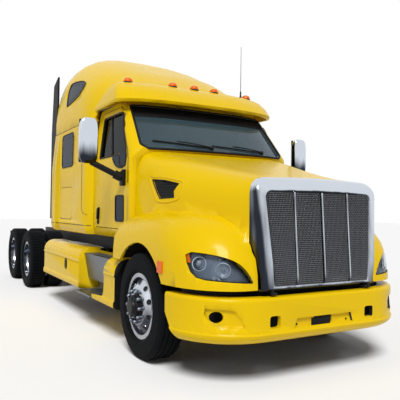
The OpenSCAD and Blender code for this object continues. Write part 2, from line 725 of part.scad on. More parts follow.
// Floor of the sleeper and the mounts under the cab
module cab_floor() {
    color("dimgray") {
        block(cab_rear - flare_l - 1, cab_rear, -floor_half_w, floor_half_w, cab_bottom, cab_bottom + wall);
        block(sleeper_rear + wall, cab_rear - flare_l, -sleeper_half_w + wall, sleeper_half_w - wall,
            cab_bottom, cab_bottom + wall);
        for (d = [sleeper_rear + 250, -2300, -1250, cab_front - 120])
            both_sides() block(d - 50, d + 50, -rail_y, -rail_y + flange_w, frame_top, cab_bottom);
    }
}

module door_panel(right) {
    difference() {
        intersection() {
            difference() {
                cab_solid(0);
                cab_solid(wall);
            }
            side_prism(door_outline(0), cab_half_w - door_depth, cab_half_w + 50);
        }
        side_prism(window_outline(0), cab_half_w - door_depth - 1, cab_half_w + 60);
        if (right) side_prism(look_down_outline(0), cab_half_w - door_depth - 1, cab_half_w + 60);
    }
}

module door_glass(right) {
    intersection() {
        difference() {
            cab_solid(wall / 2 - glass_t / 2);
            cab_solid(wall / 2 + glass_t / 2);
        }
        union() {
            side_prism(window_outline(0), cab_half_w - door_depth - 1, cab_half_w + 60);
            if (right) side_prism(look_down_outline(0), cab_half_w - door_depth - 1, cab_half_w + 60);
        }
    }
}

mirror_y = 1445;
mirror_st = -790;

// Mirror head on its arm, footed on the door below the window
module mirror_body() {
    color("silver") {
        hull() {
            translate([st(mirror_st), -mirror_y, 2140]) linear_extrude(450, center = true)
                polygon(round_rect(-55, -100, 55, 100, 40));
            translate([st(mirror_st), -mirror_y, 2140]) linear_extrude(490, center = true)
                polygon(round_rect(-35, -80, 35, 80, 30));
        }
        hull() {
            translate([st(mirror_st), -mirror_y + 20, 1965]) cube([70, 70, 40], center = true);
            translate([st(door_front - 75), -cab_half_w - 40, 1760]) cube([70, 40, 110], center = true);
        }
        difference() {
            hull() {
                translate([st(door_front - 75), -cab_half_w - 40, 1760]) cube([70, 40, 110], center = true);
                translate([st(door_front - 75), -cab_half_w + 2, 1760]) cube([90, 20, 180], center = true);
            }
            cab_solid(0);
        }
    }
}

module windscreen() {
    color("slategray") intersection() {
        difference() {
            cab_solid(wall / 2 - glass_t / 2);
            cab_solid(wall / 2 + glass_t / 2);
        }
        front_prism(screen_outline(0), cab_front - 700, cab_front + 200);
    }
}

// Sleeper

sleeper_front = cab_rear;
flare_l = 110;

// Cross sections of the sleeper: station, half width, stand-out of the collar
collar_front = sleeper_rear + 250;
collar_slope = 45;
sleeper_rows = [[sleeper_front, cab_half_w + 4, 0], [sleeper_front - flare_l, sleeper_half_w, 0],
    [collar_front, sleeper_half_w, 0], [collar_front - collar_slope, sleeper_half_w, collar],
    [sleeper_rear, sleeper_half_w, collar]];

function sleeper_section(w, inset, out) = let (b = cab_bottom, top = roof_seam, e = w + out) inset
    ? [[-w, b - 1], [-w, top - 300], [-w + 3, top + 1], [w - 3, top + 1], [w, top - 300], [w, b - 1]]
    : [[-e + 45, b], [-e + 8, b + 50], [-e, b + 115], [-e, top - 520], [-w + 3, top],
        [w - 3, top], [e, top - 520], [e, b + 115], [e - 8, b + 50], [e - 45, b]];

module sleeper_solid(inset) {
    for (i = [0 : len(sleeper_rows) - 2]) hull() for (j = [i, i + 1])
        cross_slice(sleeper_rows[j][0], sleeper_section(sleeper_rows[j][1] - inset, inset > 0, sleeper_rows[j][2]));
}

low_window = round_rect(-2965, 2010, -2425, 2455, 60);
hatch_rear = -3055;
hatch_front = -2440;
hatch_bottom = 1273;
hatch_top = 1709;
function hatch_outline(grow) = round_rect(hatch_rear - grow, hatch_bottom - grow, hatch_front + grow, hatch_top + grow, 60);
high_window_points = [[-2857, 2894], [-2620, 2915], [-2370, 2970], [-2305, 3050], [-2310, 3120], [-2430, 3170], [-2560, 3200],
    [-2750, 3225], [-2920, 3232], [-2952, 3205], [-2920, 3080]];

module sleeper_sides() {
    color(body_yellow) difference() {
        sleeper_solid(0);
        sleeper_solid(wall);
        block(sleeper_rear - 10, sleeper_rear + wall, -far, far, 0, far);
        block(sleeper_front, sleeper_front + 10, -far, far, 0, far);
        both_sides() {
            side_prism(low_window, sleeper_half_w - 200, sleeper_half_w + 50);
            side_prism(hatch_outline(door_gap), sleeper_half_w - 200, sleeper_half_w + 50);
        }
    }
}

// Luggage door under the bunk, flush with the sleeper's side
module luggage_door() {
    color(body_yellow) intersection() {
        side_prism(hatch_outline(0), sleeper_half_w - wall, sleeper_half_w);
        block(sleeper_rear, 0, -sleeper_half_w, 0, 0, far);
    }
}

module sleeper_back() {
    color(body_yellow) intersection() {
        sleeper_solid(0);
        block(sleeper_rear - 1, sleeper_rear + wall, -far, far, 0, roof_seam);
    }
}

// Roof

// Cross sections of the roof: station, half width, share of the rise, squareness
roof_front = cab_front - 525;
roof_base = roof_seam - 225;
roof_front_top = visor_top - 40;
roof_l = roof_front - sleeper_rear;
roof_rows = [for (r = [
    [roof_front, cab_half_w - 77, 0, 3.0],
    [roof_front - 0.078 * roof_l, cab_half_w - 52, 0.13, 3.0],
    [roof_front - 0.16 * roof_l, cab_half_w - 32, 0.26, 3.0],
    [roof_front - 0.247 * roof_l, cab_half_w - 8, 0.385, 3.1],
    [sleeper_front, cab_half_w + 4, 0.435, 3.1],
    [sleeper_front - flare_l, sleeper_half_w, 0.485, 3.1],
    [roof_front - 0.494 * roof_l, sleeper_half_w, 0.66, 3.2],
    [roof_front - 0.634 * roof_l, sleeper_half_w, 0.80, 3.2],
    [roof_front - 0.786 * roof_l, sleeper_half_w, 0.935, 3.2],
    [roof_front - 0.9 * roof_l, sleeper_half_w, 0.985, 3.1],
    [sleeper_rear, sleeper_half_w, 1.0, 3.0]])
    [r[0], r[1], roof_front_top + (roof_top - roof_front_top) * r[2], r[3]]];

module roof_solid(inset) {
    for (i = [0 : len(roof_rows) - 2]) hull() for (j = [i, i + 1]) {
        r = roof_rows[j];
        cross_slice(r[0] + (inset > 0 && j == 0 ? -inset : 0) + (inset > 0 && j == len(roof_rows) - 1 ? inset : 0),
            arch_section(r[1] - inset, roof_base, r[2] - inset, r[3]));
    }
}

// Side view of what lies under the roof: cab up to its rail, sleeper up to its seam
under_roof = [[sleeper_rear - 100, roof_seam], [cab_rear, roof_seam], [cab_rear, cab_top],
    [0, cab_top], [0, 0], [sleeper_rear - 100, 0]];

module roof() {
    color(body_yellow) difference() {
        roof_solid(0);
        roof_solid(wall);
        side_prism(under_roof, -far / 2, far / 2);
        both_sides() side_prism(high_window_points, 700, 1300);
    }
}

// Visor: level outlines over the windscreen, as height under its top, tip, shoulder, half width
visor_rows = [for (r = [[290, -735, -1020, 22], [260, -720, -1010, 26], [165, -800, -1060, 4], [65, -930, -1150, -30],
    [0, -1080, -1260, -90]]) [visor_top - r[0], r[1], r[2], cab_half_w + r[3], 200]];
visor_rear = sleeper_front + 20;
visor_back_top = -1210;

module visor_solid(inset) {
    for (i = [0 : len(visor_rows) - 2]) hull() for (j = [i, i + 1]) {
        r = visor_rows[j];
        level_slice(r[0] - (inset > 0 ? (j == 0 ? 5 : inset) : 0),
            nose_plan(visor_rear - (inset > 0 ? 40 : 0), r[2] - inset, r[1] - inset, r[3] - inset, r[4] - inset));
    }
}

module visor() {
    color(body_yellow) difference() {
        visor_solid(0);
        visor_solid(30);
        roof_solid(0);
        cab_solid(0);
        side_prism([[visor_back_top, visor_top + 50], [visor_back_top, visor_top + 5], [visor_rear + 40, visor_top - 257],
            [visor_rear + 40, visor_top - 330], [visor_rear - 90, visor_top - 330], [visor_rear - 90, visor_top + 50]],
            -far / 2, far / 2);
    }
}

module sleeper_glass() {
    color("darkslategray") {
        both_sides() side_prism(low_window, sleeper_half_w - 40, sleeper_half_w - 32);
        intersection() {
            difference() {
                roof_solid(wall / 2 - glass_t / 2);
                roof_solid(wall / 2 + glass_t / 2);
            }
            both_sides() side_prism(high_window_points, 700, 1300);
        }
    }
}

blade_l = 335;

// Black rubber blades behind the sleeper's sides
module rear_extenders() {
    color("black") both_sides()
        side_prism([[sleeper_rear, cab_bottom + 155], [sleeper_rear - blade_l, cab_bottom + 165],
            [sleeper_rear - blade_l, roof_seam + 60], [sleeper_rear - blade_l + 90, roof_top - 420], [sleeper_rear, roof_top - 320]],
            sleeper_half_w - 45, sleeper_half_w - 20);
}

lamp_ys = [-850, -297, 0, 297, 850];
lamp_sts = [-1190, -1110, -1100, -1110, -1190];

module roof_lamps() {
    color("orange") difference() {
        for (i = [0 : 4])
            translate([st(lamp_sts[i]), lamp_ys[i], visor_top]) cube([112, 120, 110], center = true);
        visor_solid(0);
        roof_solid(0);
    }
}

antenna_st = -1165;
antenna_y = 750;

module cab_fittings() {
    color("black") difference() {
        union() {
            translate([st(antenna_st), antenna_y, visor_top - 125]) cylinder(r = 5, h = 820);
            translate([st(antenna_st), antenna_y, visor_top - 125]) cylinder(r = 26, h = 135);
        }
        visor_solid(0);
        roof_solid(0);
    }
}

dash_half_w = cab_half_w - 212;
seat_mid = 490;
seat_w = 480;

module dash() {
    color("dimgray") {
        block(cab_front - wall - 420, cab_front - wall, -dash_half_w, dash_half_w, cab_waist - 220, cab_waist - 10);
        block(cab_front - wall - 400, cab_front - wall - 60, -dash_half_w, dash_half_w, cab_waist - 11, cab_waist + 200);
        translate([st(cab_front - wall - 390), seat_mid, cab_waist + 130]) rotate([0, -62, 0]) {
            cylinder(r = 34, h = 190);
            translate([0, 0, 150]) rotate_extrude() translate([220, 0]) circle(r = 17);
            for (a = [0 : 120 : 240]) rotate(a) translate([0, -16, 140]) cube([218, 32, 16]);
        }
    }
}

module seats() {
    color("gray") both_sides() side_prism([[-1640, cab_bottom + wall], [-1180, cab_bottom + wall], [-1140, 1480],
        [-1150, 1600], [-1500, 1580], [-1590, 2280], [-1690, 2280], [-1680, 1600]], seat_mid - seat_w / 2, seat_mid + seat_w / 2);
}

bunk_front = -2680;
board_t = 25;

// Mattress on the bunk's box
module bunk() {
    color("gray") block(sleeper_rear + wall + 10, bunk_front - 10, -sleeper_half_w + wall + 10, sleeper_half_w - wall - 10,
        bunk_top, bunk_top + 160);
}

// Coupling

plate_st = tandem_st + 60;
plate_t = 45;
pivot_z = plate_top - 120;
pivot_r = 32;

module fifth_wheel_base() {
    color("black") {
        block(plate_st - 520, plate_st + 420, -rail_y, rail_y, frame_top, frame_top + 14);
        both_sides() difference() {
            side_prism([[plate_st - 150, frame_top + 14], [plate_st + 150, frame_top + 14], [plate_st + 60, pivot_z + 50], [plate_st - 60, pivot_z + 50]],
                310, 350);
            cross_cylinder(pivot_r + pin_gap, plate_st, pivot_z, -400, -280);
        }
    }
}

module fifth_wheel_plate() {
    color("dimgray") {
        difference() {
            union() {
                translate([0, 0, plate_top - plate_t]) linear_extrude(plate_t) translate([st(plate_st), 0]) polygon(concat(
                    [for (i = [0 : 8]) let (a = -90 + 22.5 * i) [120 + 300 * cos(a), 440 * sin(a)]],
                    [[-120, 440], [-480, 330], [-480, 160], [-60, 40], [-60, -40], [-480, -160], [-480, -330], [-120, -440]]));
                translate([st(plate_st), 0, plate_top - plate_t - 40]) cylinder(r = 90, h = 60);
            }
            translate([st(plate_st), 0, plate_top - 200]) cylinder(r = jaw_r, h = 300);
        }
        both_sides() {
            block(plate_st - 60, plate_st + 60, -300, -260, pivot_z - 50, plate_top - plate_t);
            cross_cylinder(pivot_r, plate_st, pivot_z, -352, -260);
        }
    }
}

module mud_guards() {
    color("black") both_sides() {
        rear = tandem_st - rear_overhang;
        block(rear, rear + 13, -rear_wheel_y - 75, -rear_wheel_y + dual_spacing + 130, 330, 930);
        block(rear + 12, rear + 170, -rear_wheel_y - 60, -rail_y, 880, 930);
    }
}

module tail_lamps() {
    color("red") both_sides()
        block(rear_rail_end - 40, rear_rail_end, -330, -150, 880, 960);
}

// Hood

// Cross sections of the hood's centre: station, half width, top, squareness
hood_drop = cowl_top - 2062;
hood_gap = 10;
hood_front = 1090;
hood_rows = [[hood_rear, 1000, 2062, 10], [-100, 962, 1962, 8], [300, 892, 1866, 6.5], [700, 792, 1778, 6],
    [1000, 704, 1722, 6], [hood_front, 676, 1708, 7]];

module hood_centre(inset) {
    last = len(hood_rows) - 1;
    for (i = [0 : last - 1]) hull() for (j = [i, i + 1]) {
        r = hood_rows[j];
        cross_slice(r[0] + (inset > 0 && j == 0 ? -40 : 0) + (inset > 0 && j == last ? 150 : 0),
            arch_section(r[1] - inset, hood_bottom - (inset > 0 ? 10 : 0), r[2] + hood_drop - inset, r[3]));
    }
}

// Level outlines of the fenders: height, rear, shoulder and tip stations, half width, flat half width
fender_rows = [[hood_bottom, -640, 480, 1190, 0, 690], [900, -640, 470, 1185, 2, 690], [1020, -640, 440, 1160, 0, 690],
    [1130, -640, 400, 1110, -10, 680], [1230, -560, 340, 1030, -35, 670], [1310, -420, 270, 930, -80, 650],
    [1370, -260, 200, 800, -150, 600], [1411, -60, 100, 560, -260, 500]];

module fenders(inset) {
    last = len(fender_rows) - 1;
    for (i = [0 : last - 1]) hull() for (j = [i, i + 1]) {
        r = fender_rows[j];
        level_slice(r[0] - (inset > 0 ? (j == 0 ? 10 : inset) : 0),
            nose_plan(r[1] + inset, r[2] - inset, r[3] - inset, fender_half_w + r[4] - inset, r[5] - inset));
    }
}

// Outlines of the grille's surround in front view: half widths low and high, heights, radius of the top corners
grille_low = hood_bottom - 10;
grille_high = cowl_top - 352;
surround_w = 612;
surround_flare = 62;
surround_neck = 1200;
function grille_shape(low_w, high_w, z0, z1, r, crown) = let (
    side = concat([[low_w, z0]], [for (i = [0 : 5]) [high_w - r + r * cos(18 * i), z1 - r + r * sin(18 * i)]]))
    concat(side, [[0, z1 + crown]], [for (i = [len(side) - 1 : -1 : 0]) [-side[i][0], side[i][1]]]);
surround_outline = grille_shape(surround_w, surround_w + surround_flare, grille_low, grille_high - 14, 120, 14);
root_outline = grille_shape(surround_w + surround_flare + 2, surround_w + surround_flare + 2, grille_low, grille_high - 14, 120, 14);
opening_outline = grille_shape(surround_w - 92, surround_w - 30, grille_low + 44, grille_high - 136, 50, 10);

// Side view of the surround: leaning face, crown rolled back to the hood
surround_side = [[hood_front, grille_low], [1250, grille_low], [1262, grille_low + 30], [1274, grille_low + 85],
    [1220, grille_high - 130], [1202, grille_high - 80], [1170, grille_high - 35], [1122, grille_high - 5],
    [hood_front, grille_high + 10]];

// Plan of the surround: the face is bowed forward
surround_plan = concat([[900, 720], [1200, 720]], [for (y = [600 : -150 : -600]) [1282 - 22 * y * y / 360000, y]],
    [[1200, -720], [900, -720]]);

// The surround's outer form: wide where it meets the hood, narrower towards its face
module surround_solid() {
    hull() {
        cross_slice(hood_front, root_outline);
        cross_slice(surround_neck, surround_outline);
    }
    front_prism(surround_outline, surround_neck, 1400);
}

// Headlamp outline in front view
lamp_outline = [[-1095, 1077], [-1030, 1070], [-960, 1056], [-906, 1041], [-850, 1018], [-800, 986], [-757, 943], [-725, 899],
    [-697, 848], [-704, 836], [-813, 843], [-960, 854], [-1045, 861], [-1092, 878], [-1115, 919], [-1127, 994], [-1126, 1052]];

// Side vent outline in side view
vent_outline = [[-198, 1714], [0, 1699], [205, 1662], [150, 1600], [168, 1540], [-44, 1531]];

module hood() {
    color(body_yellow) difference() {
        union() {
            hood_centre(0);
            fenders(0);
        }
        hood_centre(hood_t);
        fenders(hood_t);
        both_sides() {
            cross_cylinder(arch_r, 0, axle_z, -far, -620);
            block(-far, hood_rear - 3, -cab_half_w - 14, cab_half_w + 14, 0, far);
            block(-far, -400, -far, -cab_half_w + 100, 0, 905);
        }
        surround_solid();
        cab_solid(-hood_gap);
        both_sides() {
            front_prism(lamp_outline, 450, 1300);
            side_prism(vent_outline, 700, 1100);
        }
    }
}

bar_w = 16;
bar_ys = [-300, 0, 300];
mesh_back = 30;

// Lug of the grille's frame on the frame's hinge pin
module hood_lug() {
    difference() {
        union() {
            cross_cylinder(15, hinge_st, hinge_z, -hinge_y - 56, -hinge_y - 26);
            block(hinge_st - 15, hinge_st, -hinge_y - 56, -hinge_y - 26, hinge_z, grille_low + 20);
        }
        cross_cylinder(hinge_r + pin_gap, hinge_st, hinge_z, -hinge_y - 60, -hinge_y - 20);
    }
}

// Bright frame of the grille with its upright bars
module grille_surround() {
    color("silver") intersection() {
        union() {
            difference() {
                surround_solid();
                front_prism(opening_outline, 900, 1500);
            }
            for (y = bar_ys)
                intersection() {
                    block(900, 1400, y - bar_w / 2, y + bar_w / 2, grille_low + 40, grille_high - 60);
                    side_prism([for (p = surround_side) [p[0] - 10, p[1]]], -far / 2, far / 2);
                }
        }
        side_prism(surround_side, -far / 2, far / 2);
        translate([st(0), 0, 0]) linear_extrude(far) polygon(surround_plan);
    }
    color("silver") both_sides() hood_lug();
}

// Mesh panels behind the bars
module grille() {
    color("dimgray") intersection() {
        difference() {
            front_prism(opening_outline, 900, 1500);
            for (y = bar_ys) block(900, 1500, y - bar_w / 2, y + bar_w / 2, 0, far);
        }
        difference() {
            side_prism([for (p = surround_side) [p[0] - mesh_back, p[1]]], -far / 2, far / 2);
            side_prism([for (p = surround_side) [p[0] - mesh_back - 14, p[1]]], -far, far);
        }
    }
}

liner_out = 28;

module headlamps() {
    color("lightgray") intersection() {
        difference() {
            fenders(4);
            fenders(90);
            cross_cylinder(arch_r + liner_out + 12, 0, axle_z, -far / 2, far / 2);
        }
        both_sides() front_prism(lamp_outline, 450, 1300);
    }
}

module arch_liners() {
    color("black") both_sides() intersection() {
        difference() {
            cross_cylinder(arch_r + liner_out, 0, axle_z, -far, -640);
            cross_cylinder(arch_r + liner_out - 6, 0, axle_z, -far, far);
        }
        union() {
            block(-arch_r * 2, 0, -far, 0, 915, far);
            block(-1, arch_r * 2, -far, 0, hood_bottom + 6, far);
        }
        fenders(hood_t);
    }
}

module hood_trim() {
    color("black") {
        intersection() {
            difference() {
                hood_centre(6);
                hood_centre(hood_t);
            }
            both_sides() side_prism(vent_outline, 700, 1100);
        }
        both_sides() difference() {
            block(462, 560, -fender_half_w - 10, -fender_half_w + 60, 870, 970);
            fenders(0);
        }
    }
}

// What each node draws

frame();
air_dam();
powertrain();
front_axle();
rear_axles();
suspension();
fuel_tanks();
side_fairings();
steps();
bumper();
cab_shell();
cab_floor();
sleeper_sides();
sleeper_back();
roof();
visor();
windscreen();
sleeper_glass();
rear_extenders();
roof_lamps();
cab_fittings();
dash();
seats();
bunk();
bunk_box();
luggage_door();  // luggage_door_right
mirror([0, 1, 0]) luggage_door();  // luggage_door_left
fifth_wheel_base();
mud_guards();
tail_lamps();
fifth_wheel_plate();
hood();
grille_surround();
grille();
headlamps();
arch_liners();
hood_trim();
color(body_yellow) door_panel(true);  // door_right
color("slategray") door_glass(true);  // door_glass_right
mirror_body();  // mirror_right
color(body_yellow) mirror([0, 1, 0]) door_panel(false);  // door_left
color("slategray") mirror([0, 1, 0]) door_glass(false);  // door_glass_left
mirror([0, 1, 0]) mirror_body();  // mirror_left
knuckle(-1);  // knuckle_right
knuckle(1);  // knuckle_left
tie_rod();
front_tyre(-1);  // tyre_front_right
front_rim(-1);  // rim_front_right
front_tyre(1);  // tyre_front_left
front_rim(1);  // rim_front_left
drive_tyres(rear_axle_sts[0], -1);  // tyres_drive1_right
drive_rims(rear_axle_sts[0], -1);  // rims_drive1_right
drive_tyres(rear_axle_sts[0], 1);  // tyres_drive1_left
drive_rims(rear_axle_sts[0], 1);  // rims_drive1_left
drive_tyres(rear_axle_sts[1], -1);  // tyres_drive2_right
drive_rims(rear_axle_sts[1], -1);  // rims_drive2_right
drive_tyres(rear_axle_sts[1], 1);  // tyres_drive2_left
drive_rims(rear_axle_sts[1], 1);  // rims_drive2_left
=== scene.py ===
"""Looks of a highway tractor unit with a high-roof sleeper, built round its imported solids."""

import json
import logging
import math
from collections.abc import Iterable, Sequence
from dataclasses import dataclass, field
from enum import Enum

import bmesh
import bpy
from mathutils import Matrix, Vector
from mathutils.bvhtree import BVHTree

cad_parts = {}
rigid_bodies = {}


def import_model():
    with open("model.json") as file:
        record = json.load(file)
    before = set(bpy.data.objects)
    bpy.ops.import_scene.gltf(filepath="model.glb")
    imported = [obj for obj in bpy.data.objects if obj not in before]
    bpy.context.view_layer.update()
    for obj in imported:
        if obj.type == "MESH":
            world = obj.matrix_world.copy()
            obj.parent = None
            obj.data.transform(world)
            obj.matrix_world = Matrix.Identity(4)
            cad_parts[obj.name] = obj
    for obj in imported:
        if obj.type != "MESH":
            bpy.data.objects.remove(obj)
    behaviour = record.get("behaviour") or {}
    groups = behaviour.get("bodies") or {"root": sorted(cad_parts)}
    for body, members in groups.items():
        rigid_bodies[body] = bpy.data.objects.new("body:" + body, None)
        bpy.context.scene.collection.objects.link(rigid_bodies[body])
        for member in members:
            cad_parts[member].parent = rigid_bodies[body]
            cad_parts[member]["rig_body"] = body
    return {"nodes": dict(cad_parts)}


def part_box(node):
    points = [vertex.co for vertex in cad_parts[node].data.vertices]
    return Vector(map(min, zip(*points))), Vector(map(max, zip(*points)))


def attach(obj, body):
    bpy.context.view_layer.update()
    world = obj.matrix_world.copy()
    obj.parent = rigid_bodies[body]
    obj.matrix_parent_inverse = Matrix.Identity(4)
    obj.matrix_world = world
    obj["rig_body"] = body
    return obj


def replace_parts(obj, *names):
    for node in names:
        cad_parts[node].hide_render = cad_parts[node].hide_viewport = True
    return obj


LOG = logging.getLogger("tractor")
FRONT_AXLE_X = 2.895
MERGE = 2e-5
PAINTED_REFLECTION_ATTRIBUTE = "painted_reflection_up"
COAT_ROUGHNESS = 0.03
DUST_SCALE = 9.0
FAR_ASIDE = 3.0
FAR_AHEAD = 2.0
FAR_ABOVE = 5.0
BACKWARD = Vector((-1.0, 0.0, 0.0))
DOWNWARD = Vector((0.0, 0.0, -1.0))

Colour = tuple[float, float, float]
Point = tuple[float, float]
Tree = bpy.types.ShaderNodeTree
Socket = bpy.types.NodeSocket
Vert = bmesh.types.BMVert
Face = bmesh.types.BMFace

DUST_COLOUR: Colour = (0.22, 0.19, 0.15)


def at(station: float, y: float, z: float) -> Vector:
    """Point of the frame whose station is measured forward from the front axle."""
    return Vector((FRONT_AXLE_X + station, y, z))


def srgb(red: int, green: int, blue: int) -> Colour:
    """Linear colour of a screen colour given in bytes."""
    def channel(byte: int) -> float:
        """One channel's linear value."""
        share = byte / 255
        return share / 12.92 if share <= 0.04045 else ((share + 0.055) / 1.055) ** 2.4

    return (channel(red), channel(green), channel(blue))


def verts_of(made: Iterable[object]) -> list[Vert]:
    """Vertices among the geometry that an operator returns."""
    return [g for g in made if isinstance(g, Vert)]


def rays(count: int, shift: float = 0.0) -> list[Vector]:
    """Even directions round a wheel's axle, turned by a share of one step."""
    angles = [math.tau * (i + shift) / count for i in range(count)]
    return [Vector((math.cos(angle), 0.0, math.sin(angle))) for angle in angles]


def mix_colours(tree: Tree, share: Socket, first: Socket, second: Socket | Colour) -> Socket:
    """Mix of two colours.

    Args:
        tree: Tree that gets the node.
        share: Share of the second colour.
        first: The first colour.
        second: The second colour, as a socket or plain.

    Returns:
        The socket that carries the mix.
    """
    mix = tree.nodes.new("ShaderNodeMix")
    mix.data_type = "RGBA"
    tree.links.new(share, mix.inputs["Factor"])
    tree.links.new(first, mix.inputs["A"])
    if isinstance(second, Socket):
        tree.links.new(second, mix.inputs["B"])
    else:
        mix.inputs["B"].default_value = (*second, 1.0)
    return mix.outputs["Result"]


class Side(Enum):
    """Side of the truck as the driver sees it."""

    RIGHT = "right"
    LEFT = "left"

    @property
    def sign(self) -> int:
        """Sign of Y on this side."""
        return -1 if self is Side.RIGHT else 1


class Slot(Enum):
    """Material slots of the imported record."""

    PAINT = "paint"
    CHASSIS = "chassis"
    CASTINGS = "castings"
    ALUMINIUM = "aluminium"
    CHROME = "chrome"
    MESH = "mesh"
    TYRE = "tyre"
    CLEAR_GLASS = "clear_glass"
    DARK_GLASS = "dark_glass"
    LAMP = "lamp"
    AMBER = "amber"
    RED = "red"
    BLACK_PLASTIC = "black_plastic"
    INTERIOR = "interior"
    CLOTH = "cloth"


class Effect(Enum):
    """Shader node groups that several finishes share."""

    TONE = "uneven_tone"
    GRAIN = "fine_grain"
    DUST = "road_dust"
    SHEEN = "worn_gloss"
    WEAVE = "cloth_weave"
    TREAD = "raised_tread"
    HORIZON = "sky_and_ground"


class EffectLibrary:
    """Builds each shared effect once, as a node group that puts out colours, masks or heights."""

    @classmethod
    def get(cls, effect: Effect) -> Tree:
        """Group of the effect, built on first use.

        Args:
            effect: The effect that is wanted.

        Returns:
            The node group.
        """
        found = bpy.data.node_groups.get(effect.value)
        if found is not None:
            return found
        group = bpy.data.node_groups.new(effect.value, "ShaderNodeTree")
        {
            Effect.TONE: cls._tone,
            Effect.GRAIN: cls._grain,
            Effect.DUST: cls._dust,
            Effect.SHEEN: cls._gloss,
            Effect.WEAVE: cls._weave,
            Effect.TREAD: cls._tread,
            Effect.HORIZON: cls._painted_reflection,
        }[effect](group)
        return group

    @staticmethod
    def _sockets(group: Tree, inputs: dict[str, str], outputs: dict[str, str]) -> tuple[bpy.types.Node, bpy.types.Node]:
        """Gives the group its sockets, after the coordinates and the scale that all groups have.

        Args:
            group: Tree that gets the sockets.
            inputs: Kind of each further input, by name.
            outputs: Kind of each output, by name.

        Returns:
            The group's input node and output node.
        """
        common = {"Coordinates": "Vector", "Scale": "Float"}
        for way, sockets in (("INPUT", common | inputs), ("OUTPUT", outputs)):
            for name, kind in sockets.items():
                group.interface.new_socket(name=name, in_out=way, socket_type=f"NodeSocket{kind}")
        return group.nodes.new("NodeGroupInput"), group.nodes.new("NodeGroupOutput")

    @staticmethod
    def _math(group: Tree, operation: str, first: object, second: object) -> Socket:
        """Math node on two sockets or numbers.

        Args:
            group: Tree that gets the node.
            operation: Name of the operation.
            first: Socket or number.
            second: Socket or number.

        Returns:
            The node's output.
        """
        node = group.nodes.new("ShaderNodeMath")
        node.operation = operation
        for socket, value in zip(node.inputs, (first, second)):
            if isinstance(value, (int, float)):
                socket.default_value = value
            else:
                group.links.new(value, socket)
        return node.outputs[0]

    @staticmethod
    def _noise(group: Tree, source: bpy.types.Node, detail: float) -> Socket:
        """Noise at the group's own coordinates and scale."""
        node = group.nodes.new("ShaderNodeTexNoise")
        node.inputs["Detail"].default_value = detail
        group.links.new(source.outputs["Coordinates"], node.inputs["Vector"])
        group.links.new(source.outputs["Scale"], node.inputs["Scale"])
        return node.outputs["Fac"]

    @classmethod
    def _tone(cls, group: Tree) -> None:
        """Cloudy mix of two colours."""
        source, sink = cls._sockets(group, {"Colour": "Color", "Tint": "Color", "Amount": "Float"}, {"Colour": "Color"})
        share = cls._math(group, "MULTIPLY", cls._noise(group, source, 4.0), source.outputs["Amount"])
        shade = mix_colours(group, share, source.outputs["Colour"], source.outputs["Tint"])
        group.links.new(shade, sink.inputs["Colour"])

    @classmethod
    def _grain(cls, group: Tree) -> None:
        """Fine moulded or sprayed grain as a height."""
        source, sink = cls._sockets(group, {}, {"Height": "Float"})
        group.links.new(cls._noise(group, source, 2.0), sink.inputs["Height"])

    @classmethod
    def _dust(cls, group: Tree) -> None:
        """Dust that thins out with height over the road, as a mask."""
        source, sink = cls._sockets(group, {"Level": "Float", "Amount": "Float"}, {"Mask": "Float"})
        split = group.nodes.new("ShaderNodeSeparateXYZ")
        group.links.new(source.outputs["Coordinates"], split.inputs[0])
        share = cls._math(group, "DIVIDE", split.outputs["Z"], source.outputs["Level"])
        low = cls._math(group, "SUBTRACT", 1.0, share)
        low.node.use_clamp = True
        patchy = cls._math(group, "MULTIPLY", low, cls._noise(group, source, 6.0))
        mask = cls._math(group, "MULTIPLY", patchy, source.outputs["Amount"])
        mask.node.use_clamp = True
        group.links.new(mask, sink.inputs["Mask"])

    @classmethod
    def _gloss(cls, group: Tree) -> None:
        """Roughness that drifts between two values."""
        source, sink = cls._sockets(group, {"Low": "Float", "High": "Float"}, {"Roughness": "Float"})
        spread = cls._math(group, "SUBTRACT", source.outputs["High"], source.outputs["Low"])
        rise = cls._math(group, "MULTIPLY", spread, cls._noise(group, source, 5.0))
        group.links.new(cls._math(group, "ADD", source.outputs["Low"], rise), sink.inputs["Roughness"])

    @classmethod
    def _waves(cls, group: Tree, source: bpy.types.Node, turn: float) -> list[Socket]:
        """Bands along the turned first two axes.

        Args:
            group: Tree that gets the nodes.
            source: Group input node.
            turn: Angle in degrees about Z.

        Returns:
            The two band outputs.
        """
        mapping = group.nodes.new("ShaderNodeMapping")
        mapping.inputs["Rotation"].default_value = (math.radians(turn), math.radians(turn), math.radians(turn))
        group.links.new(source.outputs["Coordinates"], mapping.inputs["Vector"])
        bands = []
        for axis in ("X", "Y"):
            wave = group.nodes.new("ShaderNodeTexWave")
            wave.bands_direction = axis
            group.links.new(mapping.outputs[0], wave.inputs["Vector"])
            group.links.new(source.outputs["Scale"], wave.inputs["Scale"])
            bands.append(wave.outputs["Fac"])
        return bands

    @classmethod
    def _weave(cls, group: Tree) -> None:
        """Crossing threads as a height."""
        source, sink = cls._sockets(group, {}, {"Height": "Float"})
        bands = cls._waves(group, source, 35.0)
        group.links.new(cls._math(group, "MAXIMUM", *bands), sink.inputs["Height"])

    @classmethod
    def _tread(cls, group: Tree) -> None:
        """Raised diamonds of a stepping plate as a height."""
        source, sink = cls._sockets(group, {}, {"Height": "Float"})
        mapping = group.nodes.new("ShaderNodeMapping")
        mapping.inputs["Rotation"].default_value = (0.0, 0.0, math.radians(45.0))
        group.links.new(source.outputs["Coordinates"], mapping.inputs["Vector"])
        cells = group.nodes.new("ShaderNodeTexVoronoi")
        cells.inputs["Randomness"].default_value = 0.0
        group.links.new(mapping.outputs[0], cells.inputs["Vector"])
        group.links.new(source.outputs["Scale"], cells.inputs["Scale"])
        rise = cls._math(group, "LESS_THAN", cells.outputs["Distance"], 0.36)
        group.links.new(rise, sink.inputs["Height"])

